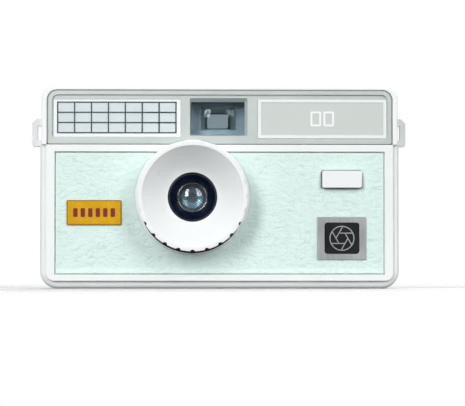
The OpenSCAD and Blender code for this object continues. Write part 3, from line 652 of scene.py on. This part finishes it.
def lens_ring():
    """Dished grip ring with round notches in its rim."""
    notches, notch_r, notch_out = 24, 0.8 * MM, 0.18 * MM
    hole, rim, edge_r = 8.14 * MM, 16.4 * MM, RING_R - 0.2 * MM
    bowl_steps, bowl_start, bowl_depth = 24, 0.7, 9.05
    bowl = []
    for k in range(bowl_steps + 1):
        t = k / bowl_steps
        y = FACE - (bowl_start + bowl_depth * t ** 1.3) * MM
        bowl.append((hole + (rim - hole) * t, y))
    neck = edge_r - 0.85 * MM
    outline = filleted([(*point, 0) for point in bowl] + [
        (rim + 0.15 * MM, RING_FRONT, 0.15 * MM), (edge_r, RING_FRONT, 0.18 * MM),
        (edge_r - 0.3 * MM, RING_FRONT + 5.1 * MM, 0.15 * MM),
        (neck, RING_FRONT + 5.4 * MM, 0.1 * MM), (neck, FACE, 0),
        (neck - 1.4 * MM, FACE, 0), (neck - 1.4 * MM, FACE - 7.2 * MM, 0.3 * MM),
        (10.6 * MM, FACE - 1.3 * MM, 0.3 * MM), (10.6 * MM, FACE, 0), (hole, FACE, 0)])
    pitch = 2 * math.pi / notches
    centre_r = edge_r + notch_out
    edge = math.acos((centre_r ** 2 + edge_r ** 2 - notch_r ** 2) / (2 * centre_r * edge_r))
    steps = [edge * math.sin(math.pi / 2 * k / 6) for k in range(-6, 7)]
    steps += [edge + (pitch - 2 * edge) * k / 9 for k in range(1, 9)]
    angles = [math.pi + n * pitch + step for n in range(notches) for step in steps]

    def notched(radius, along, angle):
        off = (angle - math.pi + pitch / 2) % pitch - pitch / 2
        reach = notch_r ** 2 - (centre_r * math.sin(off)) ** 2
        if reach <= 0 or radius < rim + 0.5 * MM:
            return radius
        return min(radius, centre_r * math.cos(off) - math.sqrt(reach))

    bm = lathe(outline, LENS, angles, shape=notched)
    piece("lens_ring_body", bm, RING_WHITE, "body", ["lens_ring"], 32)


def lens_retainer():
    """Glossy black cone round the lens, ending in a thin polished lip."""
    outline = filleted([
        (8.1 * MM, FACE + 4.4 * MM, 0), (8.1 * MM, FACE - 0.45 * MM, 0.15 * MM),
        (7.75 * MM, FACE - 0.6 * MM, 0.1 * MM), (7.4 * MM, FACE - 0.35 * MM, 0.15 * MM),
        (5.1 * MM, FACE + 2.95 * MM, 0.25 * MM), (4.85 * MM, FACE + 2.8 * MM, 0.08 * MM),
        (4.66 * MM, FACE + 2.8 * MM, 0.08 * MM), (4.66 * MM, FACE + 3.05 * MM, 0.05 * MM),
        (4.9 * MM, FACE + 3.1 * MM, 0), (4.9 * MM, FACE + 4.4 * MM, 0)])
    bm = lathe([p[:] for p in outline], LENS, even_angles(LARGE_ROUND))
    piece("lens_retainer_ring", bm, GLOSS_BLACK, "body", ["lens_retainer"])
    lip = filleted([
        (4.64 * MM, FACE + 2.85 * MM, 0.05 * MM), (4.64 * MM, FACE + 2.66 * MM, 0.08 * MM),
        (4.78 * MM, FACE + 2.66 * MM, 0.08 * MM), (4.78 * MM, FACE + 2.85 * MM, 0.05 * MM)])
    bm = lathe([p[:] for p in lip], LENS, even_angles(LARGE_ROUND))
    piece("lens_lip", bm, STEEL, "body")


def inner_lens():
    """Rear element of the taking lens, seen through the front one."""
    radius, low, crown, steps = 3.1 * MM, FACE + 6.4 * MM, 0.9 * MM, 12
    outline = [(0, low + 1.0 * MM), (radius, low + 1.0 * MM)]
    for k in range(steps + 1):
        r = radius * (1 - k / steps)
        outline.append((r, low - crown * (1 - (r / radius) ** 2) + 0.15 * MM))
    bm = lathe(outline, LENS, even_angles(SMALL_ROUND))
    piece("rear_element", bm, GLASS, "body")


lens_ring()
lens_retainer()
inner_lens()


# ---- Leatherette -------------------------------------------------------------------


TABLE = 256  # cells along each side of a table of random numbers, which repeats


def random_field(u, v, seed):
    """Smooth random field from 0 to 1, with one bump for each unit of u and v."""
    table = np.random.default_rng(seed).random((TABLE, TABLE))
    i, j = np.floor(u).astype(int), np.floor(v).astype(int)
    a, b = u - i, v - j
    a, b = a * a * (3 - 2 * a), b * b * (3 - 2 * b)

    def row(j):
        return table[i % TABLE, j % TABLE] * (1 - a) + table[(i + 1) % TABLE, j % TABLE] * a

    return row(j) * (1 - b) + row(j + 1) * b


def cell_gap(u, v, seed):
    """How far a point is from the border between random cells one unit wide."""
    table = np.random.default_rng(seed).random((TABLE, TABLE, 2))
    i, j = np.floor(u).astype(int), np.floor(v).astype(int)
    nearest = np.full(u.shape, np.inf)
    second = np.full(u.shape, np.inf)
    for a in (-1, 0, 1):
        for b in (-1, 0, 1):
            point = table[(i + a) % TABLE, (j + b) % TABLE]
            far = np.hypot(i + a + point[..., 0] - u, j + b + point[..., 1] - v)
            second = np.minimum(second, np.maximum(nearest, far))
            nearest = np.minimum(nearest, far)
    return second - nearest


def ease(value, low, high):
    """Smooth step from 0 at low to 1 at high."""
    t = np.clip((value - low) / (high - low), 0, 1)
    return t * t * (3 - 2 * t)


def wrinkles(x, z):
    """Painted crease shade, from 0 to 1, and height of the leather grain at points in millimetres.

    Each field is divided by the size of its features in millimetres, and ends in its seed.
    """
    u = x + 1.6 * (random_field(x / 2.6, z / 1.7, 11) - 0.5)
    v = z + 1.5 * (random_field(x / 2.2, z / 2.2, 12) - 0.5)
    v = v + 1.2 * (random_field(x / 6, z / 6, 13) - 0.5)
    fold = 1 - np.abs(2 * random_field(u / 1.7, v / 0.62, 41) - 1)
    wave = 1 - np.abs(2 * random_field((u + v) / 2.1, (v - 0.35 * u) / 0.8, 42) - 1)
    small = cell_gap(u / 1.3, v / 0.7, 22)
    strength = 0.3 + 0.7 * random_field(x / 3.5, z / 2.5, 31)
    crease_and_shade = ease(fold, 0.72, 1.0) * strength + 0.6 * ease(wave, 0.8, 1.0) * (1.1 - strength)
    fine = (1 - ease(small, 0.0, 0.3)) * 0.5 * random_field(x / 2, z / 2, 32)
    swell = random_field(x / 1.9, z / 1.2, 33) - 0.5
    height = -0.13 * crease_and_shade - 0.06 * fine + 0.1 * swell
    # The first value is painted shade for the creases and fine cracks; the second is real relief.
    return np.clip(0.8 * crease_and_shade + 0.7 * fine, 0, 1), height


def rounded_gap(x, z, centre, size, radius):
    """Distance from a rounded rectangle, negative inside it."""
    a = np.abs(x - centre.x) - (size[0] / 2 - radius)
    b = np.abs(z - centre.z) - (size[1] / 2 - radius)
    return np.hypot(np.maximum(a, 0), np.maximum(b, 0)) + np.minimum(np.maximum(a, b), 0) - radius


def cut_gap(x, z):
    """Distance from the two cut-outs in the covering, negative inside them."""
    collar = np.hypot(x - LENS.x, z - LENS.z) - COLLAR_CUT_R
    return np.minimum(collar, rounded_gap(x, z, FRONT_BUTTON, FRONT_BUTTON_CUT, 1 * MM))


def leatherette():
    """Wrinkled covering with its two cut-outs, turned up where it meets the frame's lower lip."""
    pitch, snap = 0.225 * MM, 0.55
    columns = round((COVER_HIGH.x - COVER_LOW.x) / pitch)
    rows = round((COVER_HIGH.z - COVER_LOW.z) / pitch)
    x, z = np.meshgrid(np.linspace(COVER_LOW.x, COVER_HIGH.x, columns + 1),
                       np.linspace(COVER_LOW.z, COVER_HIGH.z, rows + 1), indexing="ij")
    gap = cut_gap(x, z)
    step = 0.01 * MM
    slope_x = (cut_gap(x + step, z) - cut_gap(x - step, z)) / (2 * step)
    slope_z = (cut_gap(x, z + step) - cut_gap(x, z - step)) / (2 * step)
    near = np.abs(gap) < pitch * snap
    x, z = np.where(near, x - gap * slope_x, x), np.where(near, z - gap * slope_z, z)
    gap = np.where(near, 0, gap)
    crease_and_shade, height = wrinkles(x / MM, z / MM)
    sides = np.minimum(np.minimum(x - COVER_LOW.x, COVER_HIGH.x - x), COVER_HIGH.z - z)
    edge = np.minimum(sides, gap)
    fall = 0.22 * MM * (1 - ease(edge, 0, 0.45 * MM))
    turn_up = 0.35 * MM * (1 - ease(z - COVER_LOW.z, 0, 1.9 * MM))
    calm = ease(edge, 0, 0.8 * MM)
    y = COVER_LOW.y - height * MM * calm + fall - turn_up
    bm = bmesh.new()
    # This layer carries the painted crease shade to the leatherette's material.
    layer = bm.verts.layers.float.new("crease_and_shade")
    verts = {}

    def vert(i, j):
        if (i, j) not in verts:
            verts[i, j] = bm.verts.new((x[i, j], y[i, j], z[i, j]))
            verts[i, j][layer] = crease_and_shade[i, j] * calm[i, j]
        return verts[i, j]

    for i in range(columns):
        for j in range(rows):
            if gap[i, j] + gap[i + 1, j] + gap[i, j + 1] + gap[i + 1, j + 1] >= 0:
                bm.faces.new((vert(i, j), vert(i + 1, j), vert(i + 1, j + 1), vert(i, j + 1)))
    rim = [e for e in bm.edges if e.is_boundary]
    skirt = bmesh.ops.extrude_edge_only(bm, edges=rim)["geom"]
    for v in skirt:
        if isinstance(v, bmesh.types.BMVert):
            v.co.y = COVER_HIGH.y
    rear = [e for e in skirt if isinstance(e, bmesh.types.BMEdge) and e.is_boundary]
    bmesh.ops.triangle_fill(bm, use_beauty=False, use_dissolve=False, edges=rear)
    piece("leatherette_cover", bm, MINT, "body", ["leatherette"], 50)


leatherette()


# ---- Finder window -----------------------------------------------------------------


def finder_window():
    """Tinted pane behind a bezel whose sides slope in."""
    x, z = (FINDER_LOW.x + FINDER_HIGH.x) / 2, (FINDER_LOW.z + FINDER_HIGH.z) / 2
    width, height = FINDER_HIGH.x - FINDER_LOW.x, FINDER_HIGH.z - FINDER_LOW.z
    front, back = FINDER_LOW.y, FINDER_HIGH.y
    left, right, below, above = 0.35 * MM, 0.85 * MM, 0.3 * MM, 1.15 * MM
    outer = rectangle(x, z, width, height, 0.35 * MM)
    inner = rectangle(x + (left - right) / 2, z + (below - above) / 2,
                      width - left - right, height - below - above, 0.3 * MM)
    bm = moulding(((outer, front), (outer, back), (inner, back), (inner, back - 0.35 * MM)))
    soften(piece("finder_bezel", bm, BEZEL, "body", sharp=30), 0.04 * MM)
    bm = slab(inner, back - 0.4 * MM, back - 0.05 * MM)
    piece("finder_pane", bm, FINDER_PANE, "body", ["finder_window"])


finder_window()


# ---- Badges and prints -------------------------------------------------------------


def fascia_gasket():
    """Grey seal that fills the gap between the fascia and the top cover's rim."""
    low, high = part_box("fascia")
    front, back, foot = low.y + 0.25 * MM, low.y + 0.75 * MM, low.z + 0.3 * MM
    lines = []
    for reach, radius in ((0.42 * MM, 3.4 * MM), (-0.02 * MM, 3 * MM)):
        lines.append(filleted([
            (low.x - reach, foot, 0), (low.x - reach, high.z + reach, radius),
            (high.x + reach, high.z + reach, radius), (high.x + reach, foot, 0)], 12))
    outer, inner = lines
    bm = moulding(((outer, front), (outer, back), (inner, back), (inner, front)), closed=False)
    piece("fascia_gasket", bm, SEAL, "body", sharp=30)


def round_point(radius, angle):
    """Point round the lens's axis, at an angle from straight up."""
    return LENS.x + radius * math.sin(angle), LENS.z + radius * math.cos(angle)


def collar_top():
    """Top of the lens collar, where it stands above the frame, and the thin seal round it."""
    inner, outer = 18.6 * MM, 18.86 * MM
    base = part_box("front_frame")[1].z - LENS.z + 0.02 * MM
    front, back = FACE + 0.45 * MM, FACE + 0.95 * MM
    outline = [(inner, front), (outer, front), (outer, back), (inner, back)]
    seal = lathe(outline, LENS, even_angles(LARGE_ROUND))
    reach, steps = math.acos(base / inner), 40
    crescent = [round_point(inner, reach * k / steps) for k in range(-steps, steps + 1)]
    cap = slab(crescent, FACE + 0.02 * MM, FACE + 0.9 * MM)
    piece("collar_top", join([seal, cap]), CREAM, "body", sharp=30)


def painted_shade_pad():
    """Painted shade: a black pad under the ring's flange, along the lower part of the collar, where
    the ring's shadow falls.
    """
    inner, width, reach, steps = 17.1 * MM, 1.28 * MM, math.radians(80), 100
    ways = [k / steps for k in range(-steps, steps + 1)]
    edge = [(inner, t) for t in ways]
    edge += [(inner + width * (1 - t ** 4), t) for t in ways[-2:0:-1]]
    outline = [round_point(radius, math.pi + reach * t) for radius, t in edge]
    # Painted shade: the dark pad makes the collar look shadowed below the ring and shows dark
    # through the lower notches.
    bm = slab(outline, FACE - 0.3 * MM, FACE + 0.03 * MM)
    piece("painted_shade_pad", bm, FOAM, "body", sharp=30)


def film_perforations():
    """Row of film perforations printed on the yellow badge."""
    count, pitch, size = 6, 2.45 * MM, (1.45 * MM, 2.9 * MM)
    x, z = (BADGE_LOW.x + BADGE_HIGH.x) / 2, (BADGE_LOW.z + BADGE_HIGH.z) / 2
    front, back = BADGE_LOW.y - 0.04 * MM, BADGE_LOW.y + 0.05 * MM
    parts = []
    for k in range(count):
        at = x + (k - (count - 1) / 2) * pitch
        parts.append(slab(rectangle(at, z, *size, 0.35 * MM), front, back))
    piece("badge_perforations", join(parts), INK_RED, "body")


def half_frames():
    """Pictogram on the nameplate: two half frames side by side."""
    x, z = (NAME_LOW.x + NAME_HIGH.x) / 2, (NAME_LOW.z + NAME_HIGH.z) / 2
    y = NAME_LOW.y + 0.2 * MM
    front, back = y - 0.1 * MM, y + 0.05 * MM
    width, height, line, gap = 3.5 * MM, 4.9 * MM, 0.62 * MM, 0.75 * MM
    parts = []
    for side in (-1, 1):
        at = x + side * (width + gap) / 2
        outer = rectangle(at, z, width, height, 0.5 * MM)
        inner = rectangle(at, z, width - 2 * line, height - 2 * line, 0.2 * MM)
        parts.append(moulding(((outer, front), (outer, back), (inner, back), (inner, front))))
    piece("half_frame_print", join(parts), INK_WHITE, "body")


def aperture_emblem():
    """Black inlay with the blades of an iris drawn in silver."""
    x, z = (EMBLEM_LOW.x + EMBLEM_HIGH.x) / 2 + 0.05 * MM, (EMBLEM_LOW.z + EMBLEM_HIGH.z) / 2
    inlay = slab(rectangle(x, z, 11.4 * MM, 10.2 * MM, 1 * MM),
                 EMBLEM_LOW.y + 0.06 * MM, EMBLEM_LOW.y + 0.25 * MM)
    soften(piece("emblem_inlay", inlay, INK_BLACK, "body"), 0.05 * MM)
    radius, opening, line, blades = 4.1 * MM, 1.7 * MM, 0.32 * MM, 6
    front, back = EMBLEM_LOW.y, EMBLEM_LOW.y + 0.08 * MM
    ring = [(radius, front), (radius, back), (radius - line, back), (radius - line, front)]
    parts = [lathe(ring, Vector((x, 0, z)), even_angles(SMALL_ROUND))]
    for k in range(blades):
        turn = Matrix.Rotation(2 * math.pi * k / blades, 2)
        reach = math.sqrt((radius - line / 2) ** 2 - opening ** 2)
        start = -opening / math.sqrt(3)
        strip = [(start, opening - line / 2), (reach, opening - line / 2),
                 (reach, opening + line / 2), (start, opening + line / 2)]
        outline = [turn @ Vector(p) + Vector((x, z)) for p in strip]
        parts.append(slab(outline, front + 0.01 * MM, back))
    piece("emblem_iris", join(parts), BRUSHED, "body")


fascia_gasket()
collar_top()
painted_shade_pad()
film_perforations()
half_frames()
aperture_emblem()


# ---- Springs -----------------------------------------------------------------------


def helix(low, high, radius, turns, wire, axis="Z", end_radius=None):
    """Coil spring between two points of its axis, with its end turns closed up."""
    per_turn, closed_up = 20, 0.06
    total = int(turns * per_turn)
    points = []
    for k in range(total + 1):
        t = k / total
        turn = t * turns
        rise = np.interp(turn, [0, 1, turns - 1, turns], [0, closed_up, 1 - closed_up, 1])
        r = radius + ((end_radius or radius) - radius) * t
        angle = 2 * math.pi * turn
        out = Vector((r * math.cos(angle), r * math.sin(angle), 0))
        if axis == "Y":
            out = Vector((out.x, 0, out.y))
        points.append(low + (high - low) * float(rise) + out)
    return tube(points, wire)


def blended_spring(name, node, axis, turns, wire):
    """Helix in a CAD spring's place that is squeezed between the body and a moving one."""
    low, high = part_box(node)
    centre = (low + high) / 2
    if axis == "Z":
        ends = [Vector((centre.x, centre.y, low.z)), Vector((centre.x, centre.y, high.z))]
    else:
        ends = [Vector((centre.x, low.y, centre.z)), Vector((centre.x, high.y, centre.z))]
    along = (ends[1] - ends[0]).normalized()
    radius = (high.x - low.x) / 2 - wire
    bm = helix(ends[0] + along * wire, ends[1] - along * wire, radius, turns, wire, axis)
    ob = piece(name, bm, STEEL, None, [node], 80)
    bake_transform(ob)


def leaf_spring():
    """Bowed leaf between the back door and the pressure plate."""
    low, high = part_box("plate_spring")
    centre = (low + high) / 2
    width, length, thick, steps = 6 * MM, high.x - low.x, 0.18 * MM, 32
    front, back = low.y, high.y
    bm = bmesh.new()
    rings = []
    for k in range(steps + 1):
        t = k / steps
        x = low.x + length * t
        bow = (1 - math.cos(4 * math.pi * t)) / 2
        y = back - thick - (back - front - thick) * bow
        ring = [bm.verts.new((x, y + a, centre.z + b)) for a, b in
                ((0, -width / 2), (0, width / 2), (thick, width / 2), (thick, -width / 2))]
        rings.append(ring)
    close_ends(bm, rings)
    ob = piece("plate_leaf_spring", bm, STEEL, None, ["plate_spring"], 50)
    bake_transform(ob)


def battery_spring():
    """Tapered coil on the battery door."""
    low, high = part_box("battery_spring")
    mid, wire = middle("battery_spring"), 0.25 * MM
    bm = helix(Vector((mid.x, mid.y, low.z + wire)), Vector((mid.x, mid.y, high.z - wire)),
               3.3 * MM, 4, wire, end_radius=1.6 * MM)
    piece("battery_coil", bm, STEEL, "battery_lid", ["battery_spring"], 80)


blended_spring("shutter_coil", "shutter_spring", "Z", 6, 0.2 * MM)
blended_spring("lift_coil", "flash_lift_spring", "Z", 7, 0.25 * MM)
blended_spring("front_button_coil", "flash_button_spring", "Y", 4, 0.18 * MM)
leaf_spring()
battery_spring()


# ---- Screws, diffuser, counter -----------------------------------------------------


def screws():
    """Three countersunk screws with cross recesses and threads."""
    low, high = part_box("body_screws")
    sites = [(-52, -6), (-9, -6.5), (52, -6.3)]
    head, shank, pitch, thread = 2 * MM, 0.95 * MM, 0.5 * MM, 0.2 * MM
    outline = [
        (0.55 * MM, low.z + 0.25 * MM), (head * 0.8, low.z + 0.02 * MM),
        (head * 0.95, low.z + 0.1 * MM), (head, low.z + 0.25 * MM),
        (head, low.z + 0.6 * MM), (shank, low.z + 0.85 * MM)]
    z = low.z + 1.4 * MM
    while z < high.z - 0.8 * MM:
        outline += [(shank - thread, z), (shank, z + pitch / 2)]
        z += pitch
    outline += [(0.3 * MM, high.z), (0, high.z), (0, low.z + 0.9 * MM),
                (0.3 * MM, low.z + 0.9 * MM)]
    parts = [lathe(outline, Vector((x, y, 0)) * MM, even_angles(32), axis="Z") for x, y in sites]
    ob = piece("screw_set", join(parts), STEEL, "body", ["body_screws"], 35)
    bars = []
    for x, y in sites:
        for length, width in ((2.4, 0.5), (0.5, 2.4)):
            outline = rectangle(x * MM, y * MM, length * MM, width * MM, 0.1 * MM, 3)
            bars.append(slab(outline, low.z - 0.3 * MM, low.z + 0.6 * MM, axis="Z"))
    cutter = new_object("cross_cutter", from_bmesh(join(bars), "cross_cutter"))
    cut = ob.modifiers.new("cross", "BOOLEAN")
    cut.operation = "DIFFERENCE"
    cut.use_self = True
    cut.object = cutter
    done = evaluated_mesh(ob)
    ob.modifiers.clear()
    ob.data = done
    bpy.data.objects.remove(cutter)


def diffuser():
    """Flash diffuser with upright ribs."""
    low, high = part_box("flash_diffuser")
    ribs, valley, height = 34, low.y + 0.35 * MM, 0.3 * MM
    steps = ribs * 6
    outline = [(low.x, high.y), (low.x, valley)]
    for k in range(steps + 1):
        t = k / steps
        wave = abs(math.sin(math.pi * t * ribs))
        outline.append((low.x + (high.x - low.x) * t, valley - height * wave))
    outline.append((high.x, high.y))
    bm = slab(outline, low.z, high.z, axis="Z")
    piece("flash_lens", bm, PANE, "flash", ["flash_diffuser"], 50)


def counter_scale():
    """Ticks and numbers on the counter dial."""
    low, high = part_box("counter_dial")
    centre = (low + high) / 2
    top, radius, marks = high.z, (high.x - low.x) / 2, 20
    half, tip = 0.1 * MM, radius - 0.4 * MM
    parts = []
    for k in range(marks * 2):
        turn = Matrix.Rotation(math.pi * k / marks, 2)
        length = 0.9 * MM if k % 2 else 1.5 * MM
        bar = [(-half, tip - length), (half, tip - length), (half, tip), (-half, tip)]
        outline = [turn @ Vector(p) + Vector((centre.x, centre.y)) for p in bar]
        parts.append(slab(outline, top - 0.05 * MM, top + 0.02 * MM, axis="Z"))
    piece("counter_ticks", join(parts), INK_BLACK, "counter")
    numbers = bmesh.new()
    for k in range(0, marks, 2):
        words = bpy.data.curves.new("number", "FONT")
        words.body = str(k * 4)
        words.size = 1.9 * MM
        words.extrude = 0.02 * MM
        words.align_x = words.align_y = "CENTER"
        ob = new_object("number", words)
        mesh = evaluated_mesh(ob)
        turn = Matrix.Rotation(-2 * math.pi * k / marks, 4, "Z")
        out = Matrix.Translation((0, radius - 3.1 * MM, 0))
        mesh.transform(Matrix.Translation((centre.x, centre.y, top)) @ turn @ out)
        numbers.from_mesh(mesh)
        bpy.data.objects.remove(ob)
        bpy.data.curves.remove(words)
        bpy.data.meshes.remove(mesh)
    piece("counter_numbers", numbers, INK_BLACK, "counter")


screws()
diffuser()
counter_scale()


# ---- Floor, lights and camera ------------------------------------------------------


def floor():
    """Pale floor that fades out into the background."""
    half, fade_start, fade_end = 0.5, 0.08, 0.4
    bm = bmesh.new()
    bmesh.ops.create_grid(bm, x_segments=1, y_segments=1, size=half)
    mesh = bpy.data.meshes.new("floor")
    bm.to_mesh(mesh)
    bm.free()
    material, tree = shader("pale_floor")
    at = place(tree)
    paper = blend_colour(tree, between(tree, cloud(tree, at, 0.3, 3), 0, 1),
                         (0.9, 0.9, 0.9, 1), (0.94, 0.94, 0.94, 1))
    direct = add(tree, "LightPath").outputs["Is Camera Ray"]
    shade = blend_colour(tree, direct, (0.25, 0.25, 0.25, 1), paper)
    bsdf = add(tree, "BsdfPrincipled", {"Base Color": shade, "Roughness": 0.7})
    far = add(tree, "VectorMath", {0: at}, operation="LENGTH").outputs["Value"]
    under = add(tree, "NewGeometry").outputs["Backfacing"]
    gone = maths(tree, "MAXIMUM", between(tree, far, 0, 1, fade_start, fade_end), under)
    nothing = add(tree, "BsdfTransparent", {"Color": WHITE})
    mix_shaders(tree, gone, bsdf, nothing)
    ob = new_object("floor", mesh)
    ob.location.z = -0.01 * MM
    ob.data.materials.append(material)


def look_at(ob, at, aim):
    """Puts an object at a place and turns its -Z axis to a point."""
    ob.location = at
    ob.rotation_euler = (aim - at).to_track_quat("-Z", "Y").to_euler()


def softbox(name, at, aim, size, power):
    """Soft rectangular light that faces a point."""
    light = bpy.data.lights.new(name, "AREA")
    light.shape = "RECTANGLE"
    light.size, light.size_y = size
    light.energy = power
    look_at(new_object(name, light), Vector(at), Vector(aim))


def surroundings(seen, lit):
    """White behind everything, and a weaker white as fill light, weakest from below."""
    world = bpy.data.worlds.new("studio")
    bpy.context.scene.world = world
    world.use_nodes = True
    tree = world.node_tree
    tree.nodes.clear()
    path = add(tree, "LightPath")
    through = maths(tree, "MULTIPLY", path.outputs["Is Transmission Ray"], 0.4)
    direct = maths(tree, "MAXIMUM", path.outputs["Is Camera Ray"], through)
    way = add(tree, "TexCoord").outputs["Generated"]
    height = add(tree, "SeparateXYZ", {"Vector": way}).outputs["Z"]
    level = between(tree, height, lit * 0.3, lit, -0.25, 0.05)
    fill = add(tree, "Background", {"Color": WHITE, "Strength": level})
    backdrop = add(tree, "Background", {"Color": WHITE, "Strength": seen})
    mix = add(tree, "MixShader", {0: direct, 1: fill.outputs[0], 2: backdrop.outputs[0]})
    tree.links.new(mix.outputs[0], add(tree, "OutputWorld").inputs["Surface"])


def camera():
    """Camera straight in front of the lens, low and far away."""
    at = Vector((-13, -763, 4)) * MM
    aim = Vector((4.13, -13, 28.06)) * MM
    seen_width = 152.6 * MM
    data = bpy.data.cameras.new("camera")
    data.sensor_width = 36
    data.lens = data.sensor_width * (aim - at).length / seen_width
    data.clip_start = 0.01
    ob = new_object("camera", data)
    look_at(ob, at, aim)
    bpy.context.scene.camera = ob


CENTRE = (0, 0, 30 * MM)
floor()
softbox("left", (-0.50, -1.05, 0.50), CENTRE, (0.30, 0.70), 8.8)
softbox("right", (0.60, -1.02, 0.55), CENTRE, (0.45, 0.70), 6.8)
softbox("top", (0.0, -0.20, 1.10), CENTRE, (1.0, 0.7), 2.4)
softbox("side_left", (-1.00, -0.25, 0.25), CENTRE, (0.4, 0.7), 2.4)
softbox("side_right", (1.00, -0.25, 0.25), CENTRE, (0.4, 0.7), 2.0)
softbox("rear", (0.25, 1.00, 0.60), CENTRE, (0.9, 0.6), 7.0)
surroundings(1.0, 0.1)
camera()
bpy.context.scene.view_settings.view_transform = "Standard"
